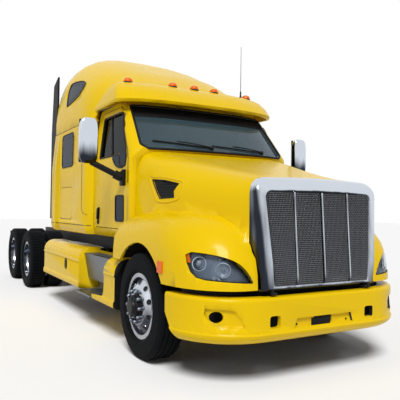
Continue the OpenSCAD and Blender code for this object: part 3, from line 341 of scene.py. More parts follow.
    @classmethod
    def _painted_reflection(cls, group: Tree) -> None:
        """Painted reflection of sky and ground: the base colour where a surface looks up and the ground's colour where
        it looks down, with a streaky edge between.
        """
        source, sink = cls._sockets(group, {"Up": "Float", "Uneven": "Float", "Ground": "Color", "Sky": "Color"},
                                    {"Colour": "Color"})
        streaks = group.nodes.new("ShaderNodeMapping")
        streaks.inputs["Scale"].default_value = (1.0, 1.0, 0.12)
        group.links.new(source.outputs["Coordinates"], streaks.inputs["Vector"])
        noise = group.nodes.new("ShaderNodeTexNoise")
        group.links.new(streaks.outputs[0], noise.inputs["Vector"])
        group.links.new(source.outputs["Scale"], noise.inputs["Scale"])
        swing = cls._math(group, "SUBTRACT", noise.outputs["Fac"], 0.5)
        uneven = cls._math(group, "MULTIPLY", swing, source.outputs["Uneven"])
        level = group.nodes.new("ShaderNodeMapRange")
        level.interpolation_type = "SMOOTHSTEP"
        level.inputs["From Min"].default_value = -0.32
        level.inputs["From Max"].default_value = 0.26
        group.links.new(cls._math(group, "ADD", source.outputs["Up"], uneven), level.inputs["Value"])
        shade = mix_colours(group, level.outputs["Result"], source.outputs["Ground"], source.outputs["Sky"])
        group.links.new(shade, sink.inputs["Colour"])


@dataclass(frozen=True)
class Finish:
    """One surface finish: colour, gloss and the shared effects laid over them."""

    name: str
    colour: Colour
    roughness: float
    metallic: float = 0.0
    tint: Colour = (0.0, 0.0, 0.0)
    drift: float = 0.08
    drift_scale: float = 3.0
    spread: float = 0.05
    coat: float = 0.0
    transmission: float = 0.0
    ior: float = 1.5
    relief: Effect = Effect.GRAIN
    relief_scale: float = 400.0
    relief_height: float = 0.00005
    dust: float = 0.0
    dust_level: float = 1.2
    glow: float = 0.0
    specular: float = 0.5
    # Painted reflection: the ground's colour seen in the surface, the scale and streakiness of its edge, and how much
    # darker sideways faces are painted.
    ground: Colour | None = None
    horizon_scale: float = 5.0
    uneven: float = 0.5
    painted_dark_sides: float = 0.0

    def material(self) -> bpy.types.Material:
        """Material of this finish, built on first use."""
        found = bpy.data.materials.get(self.name)
        if found is not None:
            return found
        made = bpy.data.materials.new(self.name)
        made.use_nodes = True
        made.diffuse_color = (*self.colour, 1.0)
        tree = made.node_tree
        shader = tree.nodes["Principled BSDF"]
        place = tree.nodes.new("ShaderNodeTexCoord").outputs["Object"]
        self._constants(shader)
        colour = self._colour(tree, place)
        tree.links.new(colour, shader.inputs["Base Color"])
        gloss = self._effect(tree, Effect.SHEEN, place, {"Scale": self.drift_scale * 2.0})
        gloss.inputs["Low"].default_value = max(self.roughness - self.spread, 0.0)
        gloss.inputs["High"].default_value = min(self.roughness + self.spread, 1.0)
        tree.links.new(gloss.outputs["Roughness"], shader.inputs["Roughness"])
        if self.relief_height > 0.0:
            relief = self._effect(tree, self.relief, place, {"Scale": self.relief_scale})
            bump = tree.nodes.new("ShaderNodeBump")
            bump.inputs["Distance"].default_value = self.relief_height
            tree.links.new(relief.outputs["Height"], bump.inputs["Height"])
            tree.links.new(bump.outputs["Normal"], shader.inputs["Normal"])
        return made

    def _constants(self, shader: bpy.types.ShaderNodeBsdfPrincipled) -> None:
        """Sets what is the same all over the surface on the shader's own sockets."""
        shader.inputs["Metallic"].default_value = self.metallic
        shader.inputs["IOR"].default_value = self.ior
        shader.inputs["Transmission Weight"].default_value = self.transmission
        shader.inputs["Coat Weight"].default_value = self.coat
        shader.inputs["Coat Roughness"].default_value = COAT_ROUGHNESS
        shader.inputs["Specular IOR Level"].default_value = self.specular
        if self.glow > 0.0:
            shader.inputs["Emission Color"].default_value = (*self.colour, 1.0)
            shader.inputs["Emission Strength"].default_value = self.glow

    def _colour(self, tree: Tree, place: Socket) -> Socket:
        """Base colour with its drift, the painted reflection of sky and ground where the finish has one, and dust.

        Args:
            tree: The material's tree.
            place: Object coordinates.

        Returns:
            The socket that carries the colour.
        """
        tone = self._effect(tree, Effect.TONE, place, {"Scale": self.drift_scale, "Amount": self.drift})
        tone.inputs["Colour"].default_value = (*self.colour, 1.0)
        tone.inputs["Tint"].default_value = (*self.tint, 1.0)
        shade = tone.outputs["Colour"]
        # Painted reflection: each corner's facing, kept in an attribute, picks between the ground's colour and the base
        # colour.
        if self.ground is not None:
            up = tree.nodes.new("ShaderNodeAttribute")
            up.attribute_name = PAINTED_REFLECTION_ATTRIBUTE
            mirrored = self._effect(tree, Effect.HORIZON, place, {"Scale": self.horizon_scale, "Uneven": self.uneven})
            mirrored.inputs["Ground"].default_value = (*self.ground, 1.0)
            tree.links.new(up.outputs["Fac"], mirrored.inputs["Up"])
            tree.links.new(shade, mirrored.inputs["Sky"])
            shade = mirrored.outputs["Colour"]
        if self.dust <= 0.0:
            return shade
        settled = self._effect(tree, Effect.DUST, place, {"Scale": DUST_SCALE, "Level": self.dust_level, "Amount": self.dust})
        return mix_colours(tree, settled.outputs["Mask"], shade, DUST_COLOUR)

    @staticmethod
    def _effect(tree: Tree, effect: Effect, place: Socket, values: dict[str, float]) -> bpy.types.ShaderNodeGroup:
        """Places a shared effect in the material.

        Args:
            tree: The material's tree.
            effect: The effect to place.
            place: Coordinates that it reads.
            values: Numbers for its inputs.

        Returns:
            The group node.
        """
        node = tree.nodes.new("ShaderNodeGroup")
        node.node_tree = EffectLibrary.get(effect)
        tree.links.new(place, node.inputs["Coordinates"])
        for name, value in values.items():
            node.inputs[name].default_value = value
        return node


# Colour of the ground that is painted into bright metal as its reflection.
PAINTED_GROUND_REFLECTION = srgb(44, 48, 56)

YELLOW_PAINT = Finish("yellow_paint", srgb(218, 182, 1), 0.28, tint=srgb(208, 166, 0), drift=0.12, drift_scale=1.2, coat=0.08,
                      relief_height=0.0, dust=0.02, dust_level=0.9, specular=0.07)
CABIN_TRIM = Finish("cabin_trim", srgb(84, 84, 86), 0.65, tint=srgb(64, 64, 66), relief_scale=900.0, relief_height=0.0002)
DARK_TRIM = Finish("dark_trim", srgb(36, 37, 40), 0.5, tint=srgb(24, 24, 26), relief_scale=900.0, relief_height=0.0002)
CHASSIS_BLACK = Finish("chassis_black", srgb(20, 20, 22), 0.5, tint=srgb(38, 37, 36), drift=0.5, dust=0.10, dust_level=1.2,
                       specular=0.2)
CAST_IRON = Finish("cast_iron", srgb(56, 56, 58), 0.6, metallic=0.6, tint=srgb(34, 33, 32), drift=0.6, relief_scale=250.0,
                   relief_height=0.0006, dust=0.2)
# Polished aluminium carries a painted reflection of sky and ground in its base colour.
POLISHED = Finish("polished_aluminium", srgb(206, 211, 220), 0.2, metallic=1.0, tint=srgb(150, 154, 160), drift=0.3,
                  spread=0.06,
                  relief_height=0.0, dust=0.06, dust_level=0.8, ground=srgb(58, 63, 72), horizon_scale=7.0, uneven=0.3)
BRUSHED = Finish("mill_aluminium", srgb(150, 154, 160), 0.4, metallic=1.0, tint=srgb(112, 116, 122), drift=0.4,
                 relief_height=0.0001, dust=0.12, dust_level=1.0)
TREAD_PLATE = Finish("tread_plate", srgb(106, 114, 124), 0.38, metallic=1.0, tint=srgb(76, 82, 90), drift=0.4,
                     relief=Effect.TREAD, relief_scale=42.0, relief_height=0.0025, dust=0.12, dust_level=1.0)
# Chrome carries a painted reflection of sky and ground in its base colour, and its sideways faces are painted darker.
CHROME = Finish("bright_chrome", srgb(208, 215, 224), 0.07, metallic=1.0, tint=srgb(190, 198, 208), drift=0.2, spread=0.02,
                relief_height=0.0, ground=PAINTED_GROUND_REFLECTION, horizon_scale=9.0, uneven=0.9, painted_dark_sides=0.26)
WIRE = Finish("grille_wire", srgb(136, 138, 142), 0.35, metallic=1.0, tint=srgb(84, 86, 90), drift=0.4, relief_height=0.0)
GRILLE_DARK = Finish("grille_dark", srgb(12, 12, 13), 0.6, tint=srgb(20, 20, 21), drift=0.4, specular=0.2)
TYRE_RUBBER = Finish("tyre_rubber", srgb(9, 11, 14), 0.82, tint=srgb(16, 17, 19), drift=0.4, drift_scale=8.0,
                     relief_scale=300.0, relief_height=0.0006, dust=0.02, dust_level=0.6, specular=0.08)
HUB_BLACK = Finish("hub_black", srgb(12, 13, 16), 0.45, tint=srgb(22, 23, 25), drift=0.4, specular=0.2)
NUT_STEEL = Finish("nut_steel", srgb(120, 126, 136), 0.32, metallic=1.0, tint=srgb(64, 68, 76), drift=0.6, drift_scale=20.0,
                   relief_height=0.0)
GASKET = Finish("gasket_rubber", srgb(9, 9, 11), 0.55, tint=srgb(18, 18, 20), drift=0.3, specular=0.15)
BLACK_PLASTIC = Finish("moulded_plastic", srgb(14, 14, 15), 0.5, tint=srgb(26, 26, 27), drift=0.3, relief_scale=1200.0,
                       relief_height=0.0003, specular=0.15)
SCREEN_GLASS = Finish("screen_glass", srgb(104, 134, 146), 0.03, transmission=0.75, ior=1.3, tint=srgb(66, 84, 94), drift=0.5,
                      drift_scale=1.4, spread=0.01, relief_height=0.0)
WINDOW_GLASS = Finish("window_glass", srgb(44, 64, 78), 0.02, transmission=1.0, ior=1.12, tint=srgb(34, 50, 62), drift=0.2,
                      spread=0.01, relief_height=0.0)
SMOKED_GLASS = Finish("smoked_glass", srgb(38, 50, 66), 0.12, tint=srgb(18, 24, 34), drift=0.8, drift_scale=1.5,
                      relief_height=0.0, specular=0.03)
LENS_CLEAR = Finish("lens_clear", srgb(236, 240, 244), 0.02, transmission=1.0, ior=1.14, drift=0.0, spread=0.01,
                    relief_height=0.0)
LAMP_SHELL = Finish("lamp_shell", srgb(104, 114, 128), 0.3, metallic=0.4, tint=srgb(52, 58, 68), drift=0.8, drift_scale=7.0,
                    relief_height=0.0)
LAMP_BOWL = Finish("lamp_bowl", srgb(150, 160, 172), 0.25, metallic=0.4, tint=srgb(70, 78, 90), drift=0.8, drift_scale=40.0,
                   relief_height=0.0)
LAMP_RING = Finish("lamp_ring", srgb(206, 214, 222), 0.3, metallic=0.2, tint=srgb(160, 170, 180), drift=0.3, relief_height=0.0)
LAMP_GLASS = Finish("lamp_glass", srgb(66, 76, 90), 0.06, metallic=0.3, tint=srgb(30, 36, 46), drift=0.7, drift_scale=30.0,
                    relief_height=0.0)
# The amber lenses carry a faint painted glow, though nothing lights them.
AMBER_LENS = Finish("amber_lens", srgb(222, 100, 4), 0.25, tint=srgb(186, 70, 0), drift=0.4, drift_scale=20.0, coat=0.1,
                    relief_scale=300.0, relief_height=0.0008, glow=0.06, specular=0.2)
RED_LENS = Finish("red_lens", srgb(170, 14, 12), 0.2, tint=srgb(110, 4, 4), drift=0.4, drift_scale=20.0, coat=0.5,
                  relief_scale=300.0, relief_height=0.0008)
SEAT_CLOTH = Finish("seat_cloth", srgb(78, 80, 86), 0.9, tint=srgb(52, 54, 58), drift=0.4, drift_scale=20.0,
                    relief=Effect.WEAVE, relief_scale=160.0, relief_height=0.0012)
BED_CLOTH = Finish("bed_cloth", srgb(92, 98, 112), 0.9, tint=srgb(66, 70, 82), drift=0.4, drift_scale=12.0, relief=Effect.WEAVE,
                   relief_scale=160.0, relief_height=0.0012)


@dataclass
class Sketch:
    """A bmesh under construction, with the moves that the pieces share."""

    bm: bmesh.types.BMesh = field(default_factory=bmesh.new)

    def node(self, name: str) -> "Sketch":
        """Adds a merged copy of a CAD node's mesh."""
        self.bm.from_mesh(Yard.nodes[name].data)
        bmesh.ops.remove_doubles(self.bm, verts=self.bm.verts, dist=MERGE)
        return self

    def block(self, low: Sequence[float], high: Sequence[float], bevel: float = 0.0, segments: int = 3) -> "Sketch":
        """Adds a box with rounded edges.

        Args:
            low: Lowest corner.
            high: Highest corner.
            bevel: Radius of the edges.
            segments: Steps of the rounding.

        Returns:
            This sketch.
        """
        start, end = Vector(low), Vector(high)
        size = end - start
        place = Matrix.Translation((start + end) / 2) @ Matrix.Diagonal((*size, 1.0))
        made = bmesh.ops.create_cube(self.bm, size=1.0, matrix=place)
        self.round_edges({e for v in made["verts"] for e in v.link_edges}, bevel, segments)
        return self

    def round_edges(self, edges: Iterable[bmesh.types.BMEdge], radius: float, segments: int = 3) -> None:
        """Bevels the edges, if the radius isn't nil."""
        if radius > 0.0:
            bmesh.ops.bevel(self.bm, geom=list(edges), offset=radius, offset_type="OFFSET", segments=segments, profile=0.5,
                            affect="EDGES", material=-1, clamp_overlap=True)

    def turned(self, profile: Sequence[Point], centre: Vector, axis: Sequence[float], steps: int = 48,
               closed: bool = False) -> "Sketch":
        """Adds a turned form.

        Args:
            profile: Radius and distance along the axis of each corner.
            centre: Point on the axis that the distances start from.
            axis: Direction of the axis.
            steps: Number of facets round the axis.
            closed: Whether the profile's ends join, as on a ring.

        Returns:
            This sketch.
        """
        along = Vector(axis).normalized()
        aside = along.orthogonal().normalized()
        verts = [self.bm.verts.new(centre + aside * radius + along * height) for radius, height in profile]
        pairs = list(zip(verts, verts[1:])) + ([(verts[-1], verts[0])] if closed else [])
        edges = [self.bm.edges.new(pair) for pair in pairs]
        known = set(self.bm.faces)
        bmesh.ops.spin(self.bm, geom=verts + edges, cent=centre, axis=along, angle=math.tau, steps=steps, use_merge=True)
        fresh = [f for f in self.bm.faces if f not in known]
        bmesh.ops.remove_doubles(self.bm, verts=list({v for f in fresh for v in f.verts}), dist=MERGE)
        bmesh.ops.recalc_face_normals(self.bm, faces=[f for f in self.bm.faces if f not in known])
        return self

    def tube(self, path: Sequence[Vector], radius: float, sides: int = 10, closed: bool = False) -> "Sketch":
        """Adds a round bar along a path.

        Args:
            path: Points that the bar's middle follows.
            radius: Radius of the bar.
            sides: Facets round the bar.
            closed: Whether the last point joins the first.

        Returns:
            This sketch.
        """
        count = len(path)
        known = set(self.bm.faces)
        steps = [(path[(i + 1) % count] if closed or i + 1 < count else path[i])
                 - (path[i - 1] if closed or i > 0 else path[i]) for i in range(count)]
        turn = steps[0].to_track_quat("Z", "Y")
        places = []
        for i, (spot, step) in enumerate(zip(path, steps)):
            turn = (steps[i - 1].rotation_difference(step) @ turn) if i else turn
            places.append(Matrix.Translation(spot) @ turn.to_matrix().to_4x4())
        ring = bmesh.ops.create_circle(self.bm, cap_ends=not closed, segments=sides, radius=radius, matrix=places[0])["verts"]
        first = edges = list({e for v in ring for e in v.link_edges})
        for before, after in zip(places, places[1:]):
            made = bmesh.ops.extrude_edge_only(self.bm, edges=edges)["geom"]
            edges = [g for g in made if isinstance(g, bmesh.types.BMEdge) and g not in edges]
            verts = verts_of(made)
            edges = [e for e in edges if all(v in verts for v in e.verts)]
            bmesh.ops.transform(self.bm, matrix=after @ before.inverted(), verts=verts)
        if closed:
            bmesh.ops.bridge_loops(self.bm, edges=first + edges)
        else:
            bmesh.ops.contextual_create(self.bm, geom=edges)
        bmesh.ops.recalc_face_normals(self.bm, faces=[f for f in self.bm.faces if f not in known])
        return self

    def plate(self, corners: Sequence[Vector], depth: Vector, rounding: float = 0.0, bevel: float = 0.0) -> "Sketch":
        """Adds a flat plate.

        Args:
            corners: Corners of its face, in order.
            depth: Way from that face to the opposite one.
            rounding: Radius of the outline's corners.
            bevel: Radius of the rims.

        Returns:
            This sketch.
        """
        known = set(self.bm.faces)
        verts = [self.bm.verts.new(c) for c in corners]
        self.bm.faces.new(verts)
        if rounding > 0.0:
            bmesh.ops.bevel(self.bm, geom=verts, offset=rounding, offset_type="OFFSET", segments=5, profile=0.5,
                            affect="VERTICES", material=-1, clamp_overlap=True)
        face = [f for f in self.bm.faces if f not in known]
        made = bmesh.ops.extrude_face_region(self.bm, geom=face)["geom"]
        bmesh.ops.translate(self.bm, vec=depth, verts=verts_of(made))
        fresh = [f for f in self.bm.faces if f not in known]
        bmesh.ops.recalc_face_normals(self.bm, faces=fresh)
        if bevel > 0.0:
            caps = [f for f in fresh if abs(f.normal.dot(depth.normalized())) > 0.9]
            self.round_edges({e for f in caps for e in f.edges}, bevel)
        return self

    def keep(self, point: Vector, normal: Sequence[float]) -> "Sketch":
        """Cuts away what lies on the side that the normal points to."""
        geometry = [*self.bm.verts, *self.bm.edges, *self.bm.faces]
        bmesh.ops.bisect_plane(self.bm, geom=geometry, dist=1e-6, plane_co=point, plane_no=Vector(normal), clear_outer=True)
        return self

    def band(self, axis: int, low: float, high: float) -> "Sketch":
        """Keeps what lies between two planes across an axis."""
        normal = Vector((0.0, 0.0, 0.0))
        normal[axis] = 1.0
        return self.keep(normal * high, normal).keep(normal * low, -normal)

    def facing(self, ways: Sequence[Vector], least: float) -> "Sketch":
        """Keeps only faces that look along one of the given ways."""
        away = [f for f in self.bm.faces if max(f.normal.dot(w) for w in ways) < least]
        bmesh.ops.delete(self.bm, geom=away, context="FACES")
        return self

    def lift(self, distance: float) -> "Sketch":
        """Moves every vertex along its normal."""
        self.bm.normal_update()
        for vert in self.bm.verts:
            vert.co += vert.normal * distance
        return self

    def thicken(self, depth: float) -> "Sketch":
        """Gives a sheet thickness behind its face."""
        bmesh.ops.solidify(self.bm, geom=self.bm.faces[:], thickness=depth)
        return self

    def mirrored(self) -> "Sketch":
        """Adds the same form on the other side of the truck."""
        copy = bmesh.ops.duplicate(self.bm, geom=[*self.bm.verts, *self.bm.edges, *self.bm.faces])["geom"]
        bmesh.ops.scale(self.bm, vec=(1.0, -1.0, 1.0), verts=verts_of(copy))
        bmesh.ops.reverse_faces(self.bm, faces=[g for g in copy if isinstance(g, Face)])
        return self

    def piece(self, name: str, finish: Finish, body: str, slot: Slot, smooth: float = 32.0,
              reflection_fade: tuple[float, float] | None = None) -> bpy.types.Object:
        """Turns the sketch into a piece that rides on a body.

        Args:
            name: Name of the piece.
            finish: Its finish.
            body: Body that it moves with.
            slot: Slot of the record; not used.
            smooth: Largest angle in degrees that is shaded smooth.
            reflection_fade: Middle height and half height of a piece whose painted reflection shows the ground low down
                and the sky high up.

        Returns:
            The object.
        """
        mesh = bpy.data.meshes.new(name)
        self.bm.to_mesh(mesh)
        self.bm.free()
        mesh.polygons.foreach_set("use_smooth", [True] * len(mesh.polygons))
        mesh.set_sharp_from_angle(angle=math.radians(smooth))
        # Painted reflection: each corner keeps how much it looks up, less a share for looking sideways; some pieces
        # blend in their height.
        if finish.ground is not None:
            up = mesh.attributes.new(PAINTED_REFLECTION_ATTRIBUTE, "FLOAT", "CORNER")
            looks = [corner.vector.z - finish.painted_dark_sides * abs(corner.vector.y) for corner in mesh.corner_normals]
            if reflection_fade is not None:
                heights = [mesh.vertices[loop.vertex_index].co.z for loop in mesh.loops]
                looks = [0.2 * look + 0.25 + 0.75 * (z - reflection_fade[0]) / reflection_fade[1] for look, z in zip(looks, heights)]
            up.data.foreach_set("value", looks)
        mesh.materials.append(finish.material())
        made = bpy.data.objects.new(name, mesh)
        bpy.context.scene.collection.objects.link(made)
        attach(made, body)
        LOG.info("%s rides on %s, %d faces", name, body, len(mesh.polygons))
        return made


class Yard:
    """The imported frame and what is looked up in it."""

    nodes: dict[str, bpy.types.Object] = {}
    _trees: dict[tuple[str, ...], BVHTree] = {}

    @classmethod
    def open(cls) -> None:
        """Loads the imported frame."""
        cls.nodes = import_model()["nodes"]

    @classmethod
    def surface(cls, start: Vector, way: Vector, *names: str) -> tuple[Vector, Vector]:
        """First point of the named nodes along a ray.

        Args:
            start: Start of the ray.
            way: Direction of the ray.
            names: Nodes to search.

        Returns:
            The point and the surface's normal there.
        """
        if names not in cls._trees:
            joined = bmesh.new()
            for name in names:
                joined.from_mesh(cls.nodes[name].data)
            cls._trees[names] = BVHTree.FromBMesh(joined)
            joined.free()
        spot, normal, _, _ = cls._trees[names].ray_cast(start, way)
        if spot is None:
            raise ValueError(f"nothing of {names} at {tuple(start)}")
        return spot, normal

    @classmethod
    def body(cls, name: str) -> str:
        """Body that a node belongs to."""
        return cls.nodes[name]["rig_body"]

    @classmethod
    def on_side(cls, side: Side, station: float, z: float, *names: str) -> tuple[Vector, Vector]:
        """Point and normal of the nodes' outer face on one side of the truck."""
        return cls.surface(at(station, side.sign * FAR_ASIDE, z), Vector((0.0, -side.sign, 0.0)), *names)

    @classmethod
    def trace(cls, side: Side, points: Iterable[Point], *names: str) -> list[Vector]:
        """Points of the nodes' outer face along an outline of stations and heights."""
        return [cls.on_side(side, station, z, *names)[0] for station, z in points]


def spaced(points: Sequence[Point], step: float, closed: bool = True) -> list[Point]:
    """Points set along an outline at an even step, its corners kept.

    Args:
        points: Corners of the outline.
        step: Longest distance between two points.
        closed: Whether the last corner joins the first.

    Returns:
        The points in order.
    """
    found = []
    for start, end in zip(points, [*points[1:], points[0]] if closed else points[1:]):
        count = max(1, math.ceil(math.dist(start, end) / step))
        found += [(start[0] + (end[0] - start[0]) * i / count, start[1] + (end[1] - start[1]) * i / count)
                  for i in range(count)]
    return found if closed else [*found, points[-1]]


def grown(points: Sequence[Point], distance: float) -> list[Point]:
    """Closed outline moved outwards by a distance."""
    area = sum(a[0] * b[1] - a[1] * b[0] for a, b in zip(points, [*points[1:], points[0]]))
    turn = 1.0 if area > 0 else -1.0
    moved = []
    for before, here, after in zip([points[-1], *points[:-1]], points, [*points[1:], points[0]]):
        first = Vector((here[0] - before[0], here[1] - before[1])).normalized()
        second = Vector((after[0] - here[0], after[1] - here[1])).normalized()
        out = Vector((first.y + second.y, -first.x - second.x)) * turn
        out.normalize()
        reach = distance / max(0.4, out.dot(Vector((first.y, -first.x)) * turn))
        moved.append((here[0] + out.x * reach, here[1] + out.y * reach))
    return moved


def round_corners(points: Sequence[Point], radius: float, steps: int = 4) -> list[Point]:
    """Closed outline with each corner turned into a short curve."""
    curve = []
    for before, here, after in zip([points[-1], *points[:-1]], points, [*points[1:], points[0]]):
        spot = Vector(here)
        start = spot + (Vector(before) - spot).normalized() * min(radius, (Vector(before) - spot).length * 0.45)
        end = spot + (Vector(after) - spot).normalized() * min(radius, (Vector(after) - spot).length * 0.45)
        for i in range(steps + 1):
            t = i / steps
            mid = start * (1 - t) ** 2 + spot * 2 * t * (1 - t) + end * t ** 2
            curve.append((mid.x, mid.y))
    return curve


@dataclass
class Studio:
    """Camera, lights, white surroundings and the floor."""

    camera_at: Vector = field(default_factory=lambda: at(4.535, -3.116, 1.411))
    yaw: float = -60.21
    pitch: float = 1.2
    roll: float = 0.84
    lens: float = 46.296
    ambient: float = 0.22
    suns: tuple[tuple[str, tuple[float, float, float], float, float], ...] = (
        ("key", (-0.54, 0.34, -0.77), 3.1, 22.0), ("fill", (-0.1, 0.85, -0.5), 0.1, 40.0))
    floor_half: float = 60.0
    floor_finish: Finish = Finish("pale_floor", (0.93, 0.93, 0.93), 0.9, tint=(0.9, 0.9, 0.9), drift=0.1, relief_height=0.0,
                                  specular=0.1)

    def build(self) -> None:
        """Sets up everything round the truck."""
        self.place_camera()
        self.light()
        self.surround()
        self.lay_floor()

    def place_camera(self) -> None:
        """Puts the camera where the photograph was taken from."""
        yaw, pitch, roll = (math.radians(a) for a in (self.yaw, self.pitch, self.roll))
        ahead = Vector((math.sin(yaw) * math.cos(pitch), math.cos(yaw) * math.cos(pitch), math.sin(pitch)))
        right = ahead.cross(Vector((0.0, 0.0, 1.0))).normalized()
        up = right.cross(ahead)
        across = right * math.cos(roll) + up * math.sin(roll)
        upright = up * math.cos(roll) - right * math.sin(roll)
        data = bpy.data.cameras.new("photo_camera")
        data.lens = self.lens
        data.sensor_width = 36.0
        data.clip_end = 500.0
        camera = bpy.data.objects.new("photo_camera", data)
        turn = Matrix((across, upright, -ahead)).transposed().to_4x4()
        camera.matrix_world = Matrix.Translation(self.camera_at) @ turn
        bpy.context.scene.collection.objects.link(camera)
        bpy.context.scene.camera = camera

    def light(self) -> None:
        """Adds the soft key light from ahead and the fill from the side."""
        for name, way, strength, spread in self.suns:
            lamp = bpy.data.lights.new(name, "SUN")
            lamp.energy = strength
            lamp.angle = math.radians(spread)
            made = bpy.data.objects.new(name, lamp)
            made.rotation_mode = "QUATERNION"
            made.rotation_quaternion = Vector(way).to_track_quat("-Z", "Y")
            bpy.context.scene.collection.objects.link(made)

    def surround(self) -> None:
        """White to the eye, in mirrors and through glass; a plain soft light to everything else."""
        world = bpy.data.worlds.new("studio")
        bpy.context.scene.world = world
        world.use_nodes = True
        tree = world.node_tree
        background = tree.nodes["Background"]
        path = tree.nodes.new("ShaderNodeLightPath")
        seen = path.outputs["Is Camera Ray"]
        for name in ("Is Glossy Ray", "Is Transmission Ray"):
            node = tree.nodes.new("ShaderNodeMath")
            node.operation = "MAXIMUM"
            tree.links.new(seen, node.inputs[0])
            tree.links.new(path.outputs[name], node.inputs[1])
            seen = node.outputs[0]
        level = tree.nodes.new("ShaderNodeMapRange")
        level.inputs["To Min"].default_value = self.ambient
        level.inputs["To Max"].default_value = 1.0
        tree.links.new(seen, level.inputs["Value"])
        tree.links.new(level.outputs["Result"], background.inputs["Strength"])
        background.inputs["Color"].default_value = (1.0, 1.0, 1.0, 1.0)
        bpy.context.scene.view_settings.view_transform = "Standard"

    def lay_floor(self) -> None:
        """Lays the pale floor that keeps the truck's shadow."""
        plane = bmesh.new()
        bmesh.ops.create_grid(plane, x_segments=2, y_segments=2, size=self.floor_half)
        mesh = bpy.data.meshes.new("studio_floor")
        plane.to_mesh(mesh)
        plane.free()
        mesh.materials.append(self.floor_finish.material())
        floor = bpy.data.objects.new("studio_floor", mesh)
        bpy.context.scene.collection.objects.link(floor)


class Dresser:
    """Moves that every sub-assembly uses to show its solids."""

    @staticmethod
    def show(name: str, finish: Finish, slot: Slot, smooth: float = 30.0, inner: Finish | None = None,
             middle: Sequence[float] = (-2.0, 0.0, 1.9), reach: float = 1.0) -> bpy.types.Object:
        """Shows a CAD node as a smooth merged copy.

        Args:
            name: The node.
            finish: Its finish.
            slot: Its slot in the record.
            smooth: Largest angle in degrees that is shaded smooth.
            inner: Finish of the faces that look towards the middle, if they have their own.
            middle: Station, width and height of the middle.
            reach: How far the middle stretches along the truck, each way.

        Returns:
            The piece.
        """
        sketch = Sketch().node(name)
        if inner is not None:
            Dresser.mark_inner(sketch.bm, middle, reach)
        made = sketch.piece(f"{name}_skin", finish, Yard.body(name), slot, smooth)
        if inner is not None:
            made.data.materials.append(inner.material())
        even = made.modifiers.new("even_normals", "WEIGHTED_NORMAL")
        even.keep_sharp = True
        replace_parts(made, name)
        return made

    @staticmethod
    def mark_inner(bm: bmesh.types.BMesh, middle: Sequence[float], reach: float) -> None:
        """Gives the second material to faces that look towards the middle."""
        bm.normal_update()
        for face in bm.faces:
            spot = face.calc_center_median()
            station = min(max(spot.x - FRONT_AXLE_X, middle[0] - reach), middle[0] + reach)
            if (spot - at(station, middle[1], middle[2])).normalized().dot(face.normal) < -0.25:
                face.material_index = 1

    @staticmethod
    def paint(name: str, finish: Finish) -> None:
        """Gives a CAD node that stays as it is its finish."""
        data = Yard.nodes[name].data
        data.materials.clear()
        data.materials.append(finish.material())

    @staticmethod
    def soften(made: bpy.types.Object, width: float, segments: int = 2, angle: float = 35.0) -> None:
        """Rounds a piece's sharp edges."""
        bevel = made.modifiers.new("soft_edges", "BEVEL")
        bevel.width = width
        bevel.segments = segments
        bevel.limit_method = "ANGLE"
        bevel.angle_limit = math.radians(angle)
        bevel.harden_normals = True


